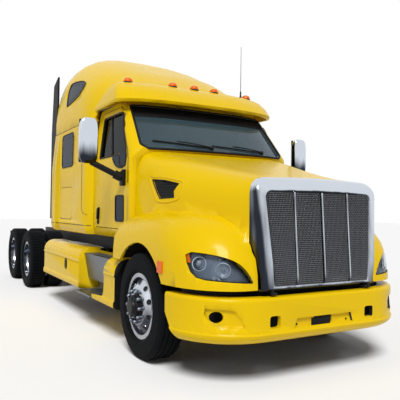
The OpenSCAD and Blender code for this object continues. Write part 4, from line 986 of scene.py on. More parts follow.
@dataclass
class BodyWork:
    """Painted shells of hood, cab, sleeper, roof, bumper and side fairings."""

    cabin_middle: tuple[float, float, float] = (-2.1, 0.0, 1.9)
    cabin_reach: float = 0.9
    hood_middle: tuple[float, float, float] = (0.25, 0.0, 1.15)
    hood_reach: float = 0.5
    bumper_middle: tuple[float, float, float] = (0.45, 0.0, 0.55)
    seam_r: float = 0.004
    roof_seam_z: float = 2.525
    sill_z: float = 1.205
    fairing_front: float = -0.622
    recess: float = 1.2335
    plate: tuple[Point, Point] = ((-0.128, 0.448), (0.082, 0.524))
    bolts: tuple[Point, ...] = ((-0.288, 0.487), (0.271, 0.482))
    gap_shade_outline: tuple[Point, ...] = ((1.035, 0.690), (1.030, 0.840), (0.975, 0.930), (0.890, 1.010), (0.780, 1.060), (0.700, 1.082))
    gap_shade_low: float = 0.560
    gap_shade_high: float = 0.765

    def build(self) -> None:
        """Shows the shells and draws their seams."""
        for name in ("cab_shell", "sleeper_sides", "sleeper_back", "roof"):
            Dresser.show(name, YELLOW_PAINT, Slot.PAINT, 45.0, CABIN_TRIM, self.cabin_middle, self.cabin_reach)
        Dresser.show("hood", YELLOW_PAINT, Slot.PAINT, 30.0, DARK_TRIM, self.hood_middle, self.hood_reach)
        Dresser.show("bumper", YELLOW_PAINT, Slot.PAINT, inner=CHASSIS_BLACK, middle=self.bumper_middle, reach=0.1)
        Dresser.show("visor", YELLOW_PAINT, Slot.PAINT)
        self.fairings()
        self.seams()
        self.rear_blades()
        self.bumper_trim()

    def fairings(self) -> None:
        """Side fairings, with the ends that look at the front wheels black as painted shade for the gap by the wheels.
        """
        made = Dresser.show("side_fairings", YELLOW_PAINT, Slot.PAINT)
        made.data.materials.append(BLACK_PLASTIC.material())
        # Painted shade: the fairings' front ends take the black plastic so that the gap by the front wheels reads dark.
        for face in made.data.polygons:
            if face.normal.x > 0.9 and face.center.x > FRONT_AXLE_X + self.fairing_front - 0.01:
                face.material_index = 1

    def seams(self) -> None:
        """Dark lines where the sleeper's panels meet."""
        panel = [(-2.02, self.roof_seam_z - 0.02), (-2.0, 1.66), (-1.989, 1.412), (-1.965, 1.38), (-1.921, 1.361),
                 (-1.833, 1.337)]
        lines = (panel, [(-3.37, self.roof_seam_z), (-1.79, self.roof_seam_z)], [(-3.37, self.sill_z), (-1.78, self.sill_z)])
        sketch = Sketch()
        for line in lines:
            path = Yard.trace(Side.RIGHT, spaced(line, 0.05, closed=False), "sleeper_sides", "sleeper_back", "roof")
            sketch.tube(path, self.seam_r, 6)
        sketch.mirrored().piece("sleeper_seams", GASKET, "chassis", Slot.BLACK_PLASTIC)

    def bumper_trim(self) -> None:
        """Black plate holder with its bolts, and a black panel behind the gap under the hood that paints the shade in
        that gap.
        """
        (y0, z0), (y1, z1) = self.plate
        sketch = Sketch().block(at(self.recess - 0.004, y0, z0), at(self.recess + 0.003, y1, z1), 0.001)
        for y, z in self.bolts:
            sketch.turned([(0.009, -0.004), (0.009, 0.003), (0.006, 0.005), (0.0, 0.005)], at(self.recess - 0.003, y, z),
                          (1.0, 0.0, 0.0), 16)
        sketch.piece("bumper_plate", GASKET, "chassis", Slot.BLACK_PLASTIC)
        # Painted shade: a black panel fills the gap under the hood so that it reads dark.
        panel = Sketch()
        path = [at(d, -y, self.gap_shade_low) for d, y in self.gap_shade_outline]
        back = [spot + Vector((-0.006, 0.0, 0.0)) for spot in reversed(path)]
        panel.plate([*path, *back], Vector((0.0, 0.0, self.gap_shade_high - self.gap_shade_low)))
        panel.mirrored().piece("gap_shade_panels", BLACK_PLASTIC, "chassis", Slot.BLACK_PLASTIC)

    def rear_blades(self) -> None:
        """Rubber blades that close the gap to a trailer."""
        Dresser.show("rear_extenders", GASKET, Slot.BLACK_PLASTIC)


@dataclass
class Glazing:
    """Windscreen, side and sleeper windows with their rubber frames."""

    gasket_r: float = 0.009
    band_bottom: float = 2.47
    screen: tuple[Point, ...] = ((-0.872, 2.079), (0.872, 2.079), (0.932, 2.120), (0.886, 2.605), (-0.886, 2.605),
                                 (-0.932, 2.120))
    door_window: tuple[Point, ...] = ((-0.70, 1.90), (-0.68, 1.99), (-0.97, 2.512), (-1.55, 2.512), (-1.55, 2.04),
                                      (-0.90, 2.04), (-0.84, 1.90))
    divider: tuple[Point, Point] = ((-1.176, 2.045), (-1.342, 2.505))
    divider_r: float = 0.013
    quarter: tuple[Point, ...] = ((-1.150, 2.040), (-1.100, 1.995), (-1.050, 1.950), (-1.000, 1.915), (-0.927, 1.888),
                                  (-0.839, 1.876),
                                  (-0.764, 1.878), (-0.705, 1.905), (-0.680, 1.960), (-0.700, 2.030), (-0.760, 2.070),
                                  (-1.140, 2.070))
    quarter_top: float = 2.05
    skin_top: float = 2.02
    look_down: tuple[Point, ...] = ((-0.97, 1.29), (-0.73, 1.29), (-0.73, 1.56), (-0.97, 1.56))
    low_window: tuple[Point, ...] = ((-2.965, 2.01), (-2.425, 2.01), (-2.425, 2.455), (-2.965, 2.455))
    high_window: tuple[Point, ...] = ((-2.857, 2.894), (-2.62, 2.915), (-2.37, 2.97), (-2.305, 3.05), (-2.31, 3.12),
                                      (-2.43, 3.17),
                                      (-2.56, 3.20), (-2.75, 3.225), (-2.92, 3.232), (-2.952, 3.205), (-2.92, 3.08))
    rivet_r: float = 0.009
    low_depth: float = 0.0335
    high_depth: float = 0.0235
    split_z: float = 2.6

    def build(self) -> None:
        """Shows the panes and frames them."""
        Dresser.show("windscreen", SCREEN_GLASS, Slot.CLEAR_GLASS)
        self.sleeper_panes()
        self.windscreen_frame()
        self.sleeper_frames()
        for side in Side:
            Dresser.show(f"door_glass_{side.value}", WINDOW_GLASS, Slot.CLEAR_GLASS)
            self.door_frames(side)

    def windscreen_frame(self) -> None:
        """Rubber round the windscreen and the black band at its top."""
        path = []
        for y, z in spaced(round_corners(grown(self.screen, 0.010), 0.025), 0.04):
            path.append(Yard.surface(at(FAR_AHEAD, y, z), BACKWARD, "cab_shell")[0])
        Sketch().tube(path, self.gasket_r * 1.4, 8, closed=True).piece("windscreen_rubber", GASKET, "chassis",
                                                                       Slot.BLACK_PLASTIC)
        band = Sketch().node("windscreen").band(2, self.band_bottom, 3.0).facing([Vector((0.9, 0.0, 0.4)).normalized()], 0.2)
        band.lift(0.0015).thicken(0.001).piece("windscreen_band", GASKET, "chassis", Slot.BLACK_PLASTIC)

    def frame_path(self, side: Side, points: Sequence[Point], *names: str) -> list[Vector]:
        """Closed path of a window frame on one side.

        Args:
            side: Side of the truck.
            points: Outline, stations by heights.
            names: Nodes whose faces carry the frame.

        Returns:
            Points on the faces.
        """
        return Yard.trace(side, spaced(points, 0.04), *names)

    def door_frames(self, side: Side) -> None:
        """Rubber round a door's panes and the bar between them."""
        door = f"door_{side.value}"
        sketch = Sketch()
        sketch.tube(self.frame_path(side, round_corners(grown(self.door_window, 0.010), 0.025), door), self.gasket_r, 8,
                    closed=True)
        if side is Side.RIGHT:
            sketch.tube(self.frame_path(side, round_corners(grown(self.look_down, 0.006), 0.03), door), self.gasket_r, 8,
                        closed=True)
            corners = Yard.trace(side, grown(self.look_down, 0.004), door)
            pane = Sketch().plate(corners, Vector((0.0, -side.sign * 0.006, 0.0)), 0.03)
            pane.piece("look_down_pane", SMOKED_GLASS, door, Slot.DARK_GLASS)
        glass = f"door_glass_{side.value}"
        (d0, z0), (d1, z1) = self.divider
        line = [(d0 + (d1 - d0) * t, z0 + (z1 - z0) * t) for t in (0.0, 0.25, 0.5, 0.75, 1.0)]
        sketch.tube(Yard.trace(side, line, glass), self.divider_r, 8)
        self.quarter_pane(side, sketch)
        sketch.piece(f"{door}_rubbers", GASKET, door, Slot.BLACK_PLASTIC)

    def quarter_pane(self, side: Side, rubbers: Sketch) -> None:
        """Dark foot of the quarter window, laid on the door's skin, and its rubber."""
        door = f"door_{side.value}"
        cab = (door, f"door_glass_{side.value}", "cab_shell")
        rim = Yard.trace(side, [spot for spot in self.quarter if spot[1] < self.quarter_top], *cab)
        rubbers.tube(rim, self.gasket_r, 8)
        outer = []
        for spot in rim:
            skin, _ = Yard.on_side(side, -1.0, min(spot.z, self.skin_top), door)
            outer.append(Vector((spot.x, side.sign * (abs(skin.y) + 0.003), spot.z)))
        pane = Sketch().plate(outer, Vector((0.0, -side.sign * 0.012, 0.0)))
        pane.piece(f"quarter_pane_{side.value}", SMOKED_GLASS, door, Slot.DARK_GLASS)

    def sleeper_panes(self) -> None:
        """Dark panes of the sleeper, flush with its walls."""
        sketch = Sketch().node("sleeper_glass")
        bm = sketch.bm
        bm.normal_update()
        inner = [f for f in bm.faces if f.normal.y * math.copysign(1.0, f.calc_center_median().y) < 0.2]
        bmesh.ops.delete(bm, geom=inner, context="FACES")
        bm.normal_update()
        for vert in bm.verts:
            vert.co += vert.normal * (self.high_depth if vert.co.z > self.split_z else self.low_depth)
        sketch.thicken(0.006)
        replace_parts(sketch.piece("sleeper_panes", SMOKED_GLASS, "chassis", Slot.DARK_GLASS), "sleeper_glass")

    def sleeper_frames(self) -> None:
        """Rubber and rivets round the sleeper's dark panes."""
        sketch, rivets = Sketch(), Sketch()
        for points, names in ((self.low_window, ("sleeper_sides",)), (self.high_window, ("roof",))):
            outline = round_corners(grown(points, 0.008), 0.06 if len(points) == 4 else 0.02)
            sketch.tube(self.frame_path(Side.RIGHT, outline, *names), self.gasket_r, 8, closed=True)
            for d, z in spaced(grown(points, -0.045), 0.17):
                spot, normal = Yard.on_side(Side.RIGHT, d, z, "sleeper_glass")
                spot = spot + normal * (self.high_depth if z > self.split_z else self.low_depth)
                rivets.turned([(0.0, 0.005), (self.rivet_r * 0.7, 0.004), (self.rivet_r, 0.0)], spot, normal, 10)
        sketch.mirrored().piece("sleeper_window_rubbers", GASKET, "chassis", Slot.BLACK_PLASTIC)
        rivets.mirrored().piece("sleeper_window_rivets", BLACK_PLASTIC, "chassis", Slot.BLACK_PLASTIC)


@dataclass
class GrilleFront:
    """Bright surround of the grille with its bars, the wire mesh and the hinge lugs."""

    low: float = 0.770
    high: float = 1.696
    half_w: float = 0.612
    flare: float = 0.062
    corner_r: float = 0.120
    opening_corner_r: float = 0.050
    depth: float = 0.135
    rim_r: float = 0.022
    bar_w: float = 0.018
    bar_ys: tuple[float, ...] = (-0.300, 0.0, 0.300)
    wire_pitch: float = 0.016
    wire_t: float = 0.0045
    wire_back: float = 0.024
    root: float = 1.0885
    root_half: float = 0.676
    face: tuple[Point, ...] = ((0.770, 1.250), (0.800, 1.262), (0.855, 1.274), (1.580, 1.220), (1.630, 1.202), (1.675, 1.170),
                               (1.705, 1.122), (1.720, 1.092))
    bow: float = 0.022
    hinge: tuple[float, float, float] = (1.236, 0.541, 0.752)

    def build(self) -> None:
        """Builds surround, bars, mesh and lugs."""
        self.surround()
        self.lugs()
        self.bars()
        self.mesh()
        Dresser.paint("grille", GRILLE_DARK)

    def face_at(self, y: float, z: float) -> float:
        """Station of the surround's face at a width and a height."""
        rows = self.face
        z = min(max(z, rows[0][0]), rows[-1][0])
        for (z0, d0), (z1, d1) in zip(rows, rows[1:]):
            if z <= z1:
                return d0 + (d1 - d0) * (z - z0) / (z1 - z0) - self.bow * (y / 0.6) ** 2
        return rows[-1][1]

    def outline(self, low_w: float, high_w: float, z0: float, z1: float, radius: float, crown: float) -> list[Point]:
        """Outline of the surround or of its opening in front view.

        Args:
            low_w: Half width at the bottom.
            high_w: Half width at the top.
            z0: Height of the bottom.
            z1: Height of the top corners.
            radius: Radius of the top corners.
            crown: Rise of the top in the middle.

        Returns:
            Widths and heights, from the right foot over the top.
        """
        side = [(low_w, z0), *[(low_w + (high_w - low_w) * t, z0 + (z1 - radius - z0) * t) for t in (0.25, 0.5, 0.75)]]
        side += [(high_w - radius + radius * math.cos(math.radians(a)), z1 - radius + radius * math.sin(math.radians(a)))
                 for a in range(0, 91, 15)]
        middle = [(high_w * 0.4, z1 + crown * 0.7), (0.0, z1 + crown), (-high_w * 0.4, z1 + crown * 0.7)]
        return [*side, *middle, *[(-y, z) for y, z in reversed(side)]]

    def surround(self) -> None:
        """Leaning frame with rounded rims, bowed like the grille."""
        sketch = Sketch()
        bm = sketch.bm
        outer = self.outline(self.half_w, self.half_w + self.flare, self.low, self.high, self.corner_r, 0.014)
        inner = self.outline(self.half_w - 0.092, self.half_w - 0.030, self.low + 0.044, self.high - 0.122,
                             self.opening_corner_r, 0.010)
        loops = []
        for points in (outer, inner):
            verts = [bm.verts.new((0.0, y, z)) for y, z in points]
            loops += [bm.edges.new((a, b)) for a, b in zip(verts, [*verts[1:], verts[0]])]
        bmesh.ops.bridge_loops(bm, edges=loops)
        bmesh.ops.recalc_face_normals(bm, faces=bm.faces)
        if sum(f.normal.x for f in bm.faces) < 0:
            bmesh.ops.reverse_faces(bm, faces=bm.faces)
        front = bm.faces[:]
        rims = [e for e in bm.edges if e.is_boundary]
        made = bmesh.ops.extrude_edge_only(bm, edges=rims)["geom"]
        behind = verts_of(made)
        bmesh.ops.translate(bm, vec=(-self.depth, 0.0, 0.0), verts=behind)
        widest = {(round(y, 5), round(z, 5)) for y, z in outer}
        for vert in behind:
            if (round(vert.co.y, 5), round(vert.co.z, 5)) in widest:
                share = min(1.0, max(0.0, (vert.co.z - self.low) / (self.high - self.corner_r - self.low)))
                vert.co.y *= self.root_half / (self.half_w + self.flare * share)
        backs = [e for e in bm.edges if e.is_boundary]
        bmesh.ops.bridge_loops(bm, edges=backs)
        bmesh.ops.recalc_face_normals(bm, faces=bm.faces)
        shown = set(front)
        sketch.round_edges([e for f in front for e in f.edges if any(g not in shown for g in e.link_faces)], self.rim_r, 5)
        for vert in bm.verts:
            front_x = max(self.face_at(vert.co.y, vert.co.z), self.root + 0.004)
            vert.co.x = FRONT_AXLE_X + front_x + (front_x - self.root) * vert.co.x / self.depth
        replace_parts(sketch.piece("grille_frame", CHROME, "hood", Slot.CHROME, 40.0), "grille_surround")

    def lugs(self) -> None:
        """Lugs that the hood turns on."""
        sketch = Sketch()
        station, width, height = self.hinge
        for sign in (-1, 1):
            centre = at(station, sign * width, height)
            sketch.turned([(0.0083, -0.015), (0.015, -0.015), (0.015, 0.015), (0.0083, 0.015)], centre, (0.0, 1.0, 0.0), 24,
                          closed=True)
            sketch.block(centre + Vector((-0.015, -0.015, 0.009)), centre + Vector((-0.001, 0.015, 0.030)), 0.002)
        sketch.piece("hood_hinge_lugs", HUB_BLACK, "hood", Slot.CHROME)

    def bars(self) -> None:
        """Upright bright bars."""
        sketch = Sketch()
        for y in self.bar_ys:
            sketch.block((-0.060, y - self.bar_w / 2, self.low + 0.04), (-0.008, y + self.bar_w / 2, self.high - 0.115), 0.005)
        cuts = [e for e in sketch.bm.edges if abs(e.verts[0].co.z - e.verts[1].co.z) > 0.5]
        bmesh.ops.subdivide_edges(sketch.bm, edges=cuts, cuts=16, use_grid_fill=True)
        for vert in sketch.bm.verts:
            vert.co.x += FRONT_AXLE_X + self.face_at(vert.co.y, vert.co.z)
        sketch.piece("grille_bars", CHROME, "hood", Slot.CHROME, 40.0)

    def mesh(self) -> None:
        """Crossed wires in front of the dark backing."""
        sketch = Sketch()
        bm = sketch.bm
        low, high = self.low + 0.040, self.high - 0.112
        width = self.half_w - 0.030
        columns, rows = round(2 * width / self.wire_pitch), round((high - low) / self.wire_pitch)
        place = Matrix.Translation((0.0, 0.0, (low + high) / 2)) @ Matrix.Rotation(math.radians(90.0), 4, "Y")
        bmesh.ops.create_grid(bm, x_segments=rows, y_segments=columns, size=1.0, matrix=place)
        for vert in bm.verts:
            up = (vert.co.z - (low + high) / 2) * (high - low) / 2 + (low + high) / 2
            share = (up - low) / (high - low)
            y = vert.co.y * (width - 0.062 * (1 - share))
            weave = 0.0030 * (1 if (round((vert.co.y + 1) * columns / 2) + round(share * rows)) % 2 else -1)
            vert.co = at(self.face_at(0.0, up) - self.wire_back + weave, y, up)
        made = sketch.piece("grille_wires", WIRE, "hood", Slot.MESH, 60.0)
        wire = made.modifiers.new("wires", "WIREFRAME")
        wire.thickness = self.wire_t
        wire.use_even_offset = False


@dataclass
class HeadLamps:
    """Swept clear lamps with two round projectors and an amber corner."""

    lens_t: float = 0.003
    bucket: float = 0.050
    border: float = 0.009
    look_least: float = 0.3
    lamps: tuple[tuple[float, float, float, float, bool], ...] = ((0.936, 1.054, 0.984, 0.055, True),
                                                                  (1.076, 0.913, 0.939, 0.058, False))
    amber_from: float = 1.108
    amber_low: float = 0.990

    def build(self) -> None:
        """Builds lens, bucket, projectors and corner."""
        lens = self.sheet().lift(-0.001).thicken(self.lens_t)
        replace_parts(lens.piece("headlamp_lenses", LENS_CLEAR, "hood", Slot.CLEAR_GLASS), "headlamps")
        self.buckets()
        self.borders()
        self.projectors()
        self.corners()

    def sheet(self) -> Sketch:
        """Front faces of both lamps, as a sheet."""
        ahead = [Vector((1.0, 0.0, 0.0)), Vector((0.5, -0.866, 0.0)), Vector((0.5, 0.866, 0.0))]
        return Sketch().node("headlamps").facing(ahead, self.look_least)

    def borders(self) -> None:
        """Black rim printed round each lens."""
        sketch = self.sheet()
        inside = sketch.bm.faces[:]
        bmesh.ops.inset_region(sketch.bm, faces=inside, thickness=self.border, use_even_offset=True, use_boundary=True)
        bmesh.ops.delete(sketch.bm, geom=inside, context="FACES")
        sketch.lift(0.0012).piece("headlamp_borders", GASKET, "hood", Slot.BLACK_PLASTIC)

    def buckets(self) -> None:
        """Grey trays behind the lenses."""
        sketch = self.sheet()
        bm = sketch.bm
        sketch.lift(-0.006)
        made = bmesh.ops.extrude_face_region(bm, geom=bm.faces[:])["geom"]
        behind = set(verts_of(made))
        bmesh.ops.translate(bm, vec=(-self.bucket - 0.004, 0.0, -0.004), verts=list(behind))
        front = [f for f in bm.faces if not any(v in behind for v in f.verts)]
        bmesh.ops.recalc_face_normals(bm, faces=bm.faces)
        bmesh.ops.inset_region(bm, faces=front, thickness=0.004, use_even_offset=True, use_boundary=True)
        bmesh.ops.translate(bm, vec=(-self.bucket, 0.0, -0.004), verts=list({v for f in front for v in f.verts}))
        sketch.piece("headlamp_buckets", LAMP_SHELL, "hood", Slot.BLACK_PLASTIC)

    def projectors(self) -> None:
        """Two round projectors in each lamp: bright rings, bowls and glass eyes."""
        rings, bowls, eyes = Sketch(), Sketch(), Sketch()
        way = Vector((0.85, -0.52, 0.08)).normalized()
        for station, y, z, radius, dark in self.lamps:
            centre = at(station, -y, z)
            rings.turned([(radius, 0.0), (radius + 0.003, 0.003), (radius, 0.006), (radius - 0.003, 0.003)], centre, way, 40,
                         closed=True)
            (eyes if dark else bowls).turned([(radius - 0.002, 0.002), (radius * 0.8, -0.010), (radius * 0.5, -0.018),
                                              (0.0, -0.022)],
                                             centre, way, 40)
            core = radius * (0.5 if dark else 0.22)
            bowls.turned([(core, -0.016), (core * 0.92, -0.008), (core * 0.6, 0.0), (0.0, 0.003)], centre, way, 32)
        rings.mirrored().piece("headlamp_rings", LAMP_RING, "hood", Slot.CHROME, 60.0)
        bowls.mirrored().piece("headlamp_bowls", LAMP_BOWL, "hood", Slot.LAMP, 60.0)
        eyes.mirrored().piece("headlamp_eyes", LAMP_GLASS, "hood", Slot.LAMP, 60.0)

    def corners(self) -> None:
        """Amber reflectors at the outer ends."""
        sketch = self.sheet().keep(Vector((0.0, -self.amber_from, 0.0)), (0.0, 1.0, 0.0))
        sketch.keep(Vector((0.0, 0.0, self.amber_low)), (0.0, 0.0, -1.0)).lift(-0.008).thicken(0.004)
        sketch.mirrored().piece("headlamp_corners", AMBER_LENS, "hood", Slot.AMBER)


@dataclass
class HoodTrim:
    """Black side vents and amber side markers of the hood."""

    split_z: float = 1.25
    vent: tuple[Point, ...] = ((-0.198, 1.714), (0.0, 1.699), (0.205, 1.662), (0.150, 1.600), (0.168, 1.540), (-0.044, 1.531))
    lip: tuple[Point, ...] = ((-0.284, 1.754), (-0.006, 1.734), (0.280, 1.680), (0.255, 1.518), (0.088, 1.486), (-0.090, 1.495))
    lip_r: float = 0.013
    lip_sunk: float = 0.006
    slats: int = 6
    slat_zs: tuple[float, float] = (1.540, 1.690)
    slat_r: float = 0.005

    def build(self) -> None:
        """Builds vents and markers."""
        vents = Sketch().node("hood_trim").keep(Vector((0.0, 0.0, self.split_z)), (0.0, 0.0, -1.0))
        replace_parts(vents.piece("hood_vents", BLACK_PLASTIC, "hood", Slot.BLACK_PLASTIC), "hood_trim")
        markers = Sketch().node("hood_trim").keep(Vector((0.0, 0.0, self.split_z)), (0.0, 0.0, 1.0))
        Dresser.soften(markers.piece("hood_side_markers", AMBER_LENS, "hood", Slot.AMBER), 0.003)
        self.rims()
        outline = spaced(round_corners(self.lip, 0.05), 0.04)
        sunk = [spot + Vector((0.0, self.lip_sunk, 0.0)) for spot in Yard.trace(Side.RIGHT, outline, "hood")]
        lips = Sketch().tube(sunk, self.lip_r, 10, closed=True).mirrored()
        lips.piece("hood_vent_lips", YELLOW_PAINT, "hood", Slot.PAINT, 60.0)

    def rims(self) -> None:
        """Rim round each vent and the slats inside."""
        sketch = Sketch()
        rim = spaced(grown(self.vent, 0.004), 0.03)
        sketch.tube(Yard.trace(Side.RIGHT, rim, "hood"), 0.006, 8, closed=True)
        low, high = self.slat_zs
        for i in range(1, self.slats):
            z = low + (high - low) * i / self.slats
            path = []
            for d in (x * 0.01 for x in range(-20, 21)):
                spot, _ = Yard.on_side(Side.RIGHT, d, z, "hood", "hood_trim")
                deep, _ = Yard.on_side(Side.RIGHT, d, z, "hood_trim") if self.inside(d, z) else (None, None)
                if deep is not None and (spot - deep).length < 0.001:
                    path.append(spot)
            if len(path) > 2:
                sketch.tube(path, self.slat_r, 6)
        sketch.mirrored().piece("hood_vent_rims", BLACK_PLASTIC, "hood", Slot.BLACK_PLASTIC)

    def inside(self, station: float, z: float) -> bool:
        """Whether a point of the side view lies in the vent."""
        hit = False
        for (d0, z0), (d1, z1) in zip(self.vent, [*self.vent[1:], self.vent[0]]):
            if (z0 > z) != (z1 > z) and station < (d1 - d0) * (z - z0) / (z1 - z0) + d0:
                hit = not hit
        return hit


class TreadKind(Enum):
    """Tread of a tyre."""

    RIBS = "ribs"
    BLOCKS = "blocks"


@dataclass
class Wheels:
    """Tyres with their treads, polished wheels, nuts and hubs."""

    tyre_r: float = 0.500
    rim_r: float = 0.286
    rim_half: float = 0.1047
    axle_z: float = 0.500
    front_y: float = 1.050
    rear_y: float = 1.075
    twin: float = 0.340
    rear_stations: tuple[float, float] = (-5.10, -6.42)
    nut_circle: float = 0.143
    nuts: int = 10
    nut_length: float = 0.050
    hole_r: float = 0.026
    hole_circle: float = 0.2215
    hub_bolts: int = 8
    front_bolt_circle: float = 0.085
    rear_bolt_circle: float = 0.068
    groove: float = 0.011

    def build(self) -> None:
        """Builds the six wheel sets."""
        for side in Side:
            self.wheel(f"tyre_front_{side.value}", f"rim_front_{side.value}", 0.0, [side.sign * self.front_y], TreadKind.RIBS)
            self.front_hub(side)
            for i, station in enumerate(self.rear_stations, start=1):
                ys = [side.sign * self.rear_y, side.sign * (self.rear_y - self.twin)]
                self.wheel(f"tyres_drive{i}_{side.value}", f"rims_drive{i}_{side.value}", station, ys, TreadKind.BLOCKS)
                self.rear_hub(side, i, station)

    def tyre_profile(self) -> list[Point]:
        """Closed section of a tyre, radius by width: beads, walls with their ribs, shoulders and grooved tread."""
        wall = [(self.rim_r + 0.003, self.rim_half - 0.004), (self.rim_r + 0.028, self.rim_half - 0.002),
                (self.rim_r + 0.032, 0.118),
                (0.335, 0.1335), (0.345, 0.1355), (0.350, 0.1385), (0.356, 0.1385), (0.361, 0.1375), (0.395, 0.1412),
                (0.430, 0.1385),
                (0.452, 0.1345), (0.457, 0.1360), (0.463, 0.1350), (0.468, 0.1310), (0.486, 0.1235), (0.494, 0.1170)]
        crown = [(0.4975, 0.108)]
        for middle, width in ((0.077, 0.010), (0.028, 0.012)):
            crown += [(self.tyre_r - 0.0012, middle + width / 2), (self.tyre_r - 0.014, middle + width / 2 - 0.002),
                      (self.tyre_r - 0.014, middle - width / 2 + 0.002), (self.tyre_r - 0.0006, middle - width / 2)]
        half = wall + crown
        return half + [(r, -w) for r, w in reversed(half)]

    def wheel(self, tyre: str, rim: str, station: float, ys: Sequence[float], kind: TreadKind) -> None:
        """One wheel set: its tyres and its polished rims.

        Args:
            tyre: Node of the tyres.
            rim: Node of the rims.
            station: Station of the axle.
            ys: Middle of each tyre.
            kind: Tread of the tyres.
        """
        steps = 96 if kind is TreadKind.RIBS else 216
        sketch = Sketch()
        for y in ys:
            known = set(sketch.bm.faces)
            centre = at(station, y, self.axle_z)
            sketch.turned(self.tyre_profile(), centre, (0.0, 1.0, 0.0), steps, closed=True)
            if kind is TreadKind.BLOCKS:
                self.cut_blocks(sketch, [f for f in sketch.bm.faces if f not in known], centre, steps)
        made = sketch.piece(f"{tyre}_rubber", TYRE_RUBBER, Yard.body(tyre), Slot.TYRE, 35.0)
        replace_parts(made, tyre)
        Dresser.show(rim, POLISHED, Slot.ALUMINIUM, 28.0)

    def cut_blocks(self, sketch: Sketch, faces: Sequence[Face], centre: Vector, steps: int) -> None:
        """Cross grooves that part the ribs into blocks.

        Args:
            sketch: Sketch that holds the tyre.
            faces: Faces of the tyre.
            centre: Middle of the tyre.
            steps: Facets round the tyre.
        """
        chosen = []
        for face in faces:
            arm = face.calc_center_median() - centre
            turn = round((math.atan2(arm.z, arm.x) / math.tau % 1.0) * steps - 0.5)
            flat = Vector((arm.x, 0.0, arm.z)).length
            if flat > self.tyre_r - 0.004 and (turn + (2 if arm.y > 0 else 0)) % 4 == 0:
                chosen.append(face)
        made = bmesh.ops.extrude_face_region(sketch.bm, geom=chosen)["geom"]
        bmesh.ops.delete(sketch.bm, geom=[f for f in chosen if f.is_valid], context="FACES")
        for vert in verts_of(made):
            arm = Vector((vert.co.x - centre.x, 0.0, vert.co.z - centre.z))
            vert.co -= arm.normalized() * self.groove

    def front_hub(self, side: Side) -> None:
        """Domed face of a steered wheel with its hand holes, the dark hub that stands out of it and the nuts."""
        out = Vector((0.0, side.sign, 0.0))
        flange = at(0.0, side.sign * (self.front_y + self.rim_half + 0.010), self.axle_z)
        body = f"wheel_front_{side.value}"
        disc = Sketch().turned([(0.275, -0.052), (0.268, -0.040), (0.256, -0.029), (0.246, -0.021), (0.196, 0.016),
                                (0.184, 0.024), (0.174, 0.027),
                                (0.110, 0.027), (0.110, 0.010), (0.174, 0.010), (0.246, -0.034), (0.270, -0.058)], flange, out,
                                72, closed=True)
        holes = Sketch()
        for ray in rays(self.nuts, 0.5):
            slope = (ray * 0.037 + out * 0.050).normalized()
            spot = flange + ray * self.hole_circle - out * 0.0029
            disc.turned([(self.hole_r, -0.002), (self.hole_r + 0.004, 0.0), (self.hole_r + 0.003, 0.0025),
                         (self.hole_r, 0.003)], spot, slope, 24,
                        closed=True)
            holes.turned([(self.hole_r, 0.0005), (self.hole_r * 0.5, 0.0008), (0.0, 0.0008)], spot, slope, 24)
        disc.piece(f"front_wheel_face_{side.value}", POLISHED, body, Slot.ALUMINIUM, 30.0)
        holes.piece(f"front_hand_holes_{side.value}", HUB_BLACK, body, Slot.CHASSIS)
        hub = Sketch().turned([(0.116, 0.026), (0.116, 0.036), (0.106, 0.040), (0.100, 0.070), (0.094, 0.076), (0.076, 0.078),
                               (0.070, 0.098), (0.064, 0.104), (0.040, 0.106), (0.0, 0.106)], flange, out, 48)
        for ray in rays(self.hub_bolts):
            spot = flange + ray * self.front_bolt_circle + out * 0.0765
            hub.turned([(0.008, 0.0), (0.008, 0.007), (0.005, 0.010), (0.0, 0.010)], spot, out, 6)
        hub.piece(f"front_hub_{side.value}", HUB_BLACK, body, Slot.CHASSIS)
        self.nut_covers(f"front_nuts_{side.value}", body, flange + out * 0.027, out)

    def rear_hub(self, side: Side, index: int, station: float) -> None:
        """Dark axle end with its flange bolts, and the nuts of a drive wheel."""
        out = Vector((0.0, side.sign, 0.0))
        middle = at(station, side.sign * (self.rear_y - self.twin / 2), self.axle_z)
        body = f"wheel_drive{index}_{side.value}"
        hub = Sketch().turned([(0.0895, 0.086), (0.0895, 0.142), (0.086, 0.150), (0.080, 0.1515), (0.050, 0.1525),
                               (0.044, 0.160), (0.030, 0.164), (0.0, 0.165)], middle, out, 40)
        for ray in rays(self.hub_bolts, 0.5):
            spot = middle + ray * self.rear_bolt_circle + out * 0.151
            hub.turned([(0.010, 0.0), (0.010, 0.008), (0.007, 0.011), (0.0, 0.011)], spot, out, 6)
        hub.piece(f"rear_hub_{index}_{side.value}", HUB_BLACK, body, Slot.CHASSIS)
        self.nut_covers(f"rear_nuts_{index}_{side.value}", body, middle + out * 0.022, out)

    def nut_covers(self, name: str, body: str, face: Vector, out: Vector) -> None:
        """Steel covers over the wheel nuts.

        Args:
            name: Name of the piece.
            body: Wheel that they turn with.
            face: Middle of the plane that they stand on.
            out: Way that they point.
        """
        sketch, length = Sketch(), self.nut_length
        for ray in rays(self.nuts):
            spot = face + ray * self.nut_circle
            sketch.turned([(0.0215, 0.0), (0.0215, 0.006), (0.0180, 0.008), (0.0172, length - 0.008), (0.013, length),
                           (0.0, length + 0.003)],
                          spot, out, 14)
        sketch.piece(name, NUT_STEEL, body, Slot.CHROME, 40.0)


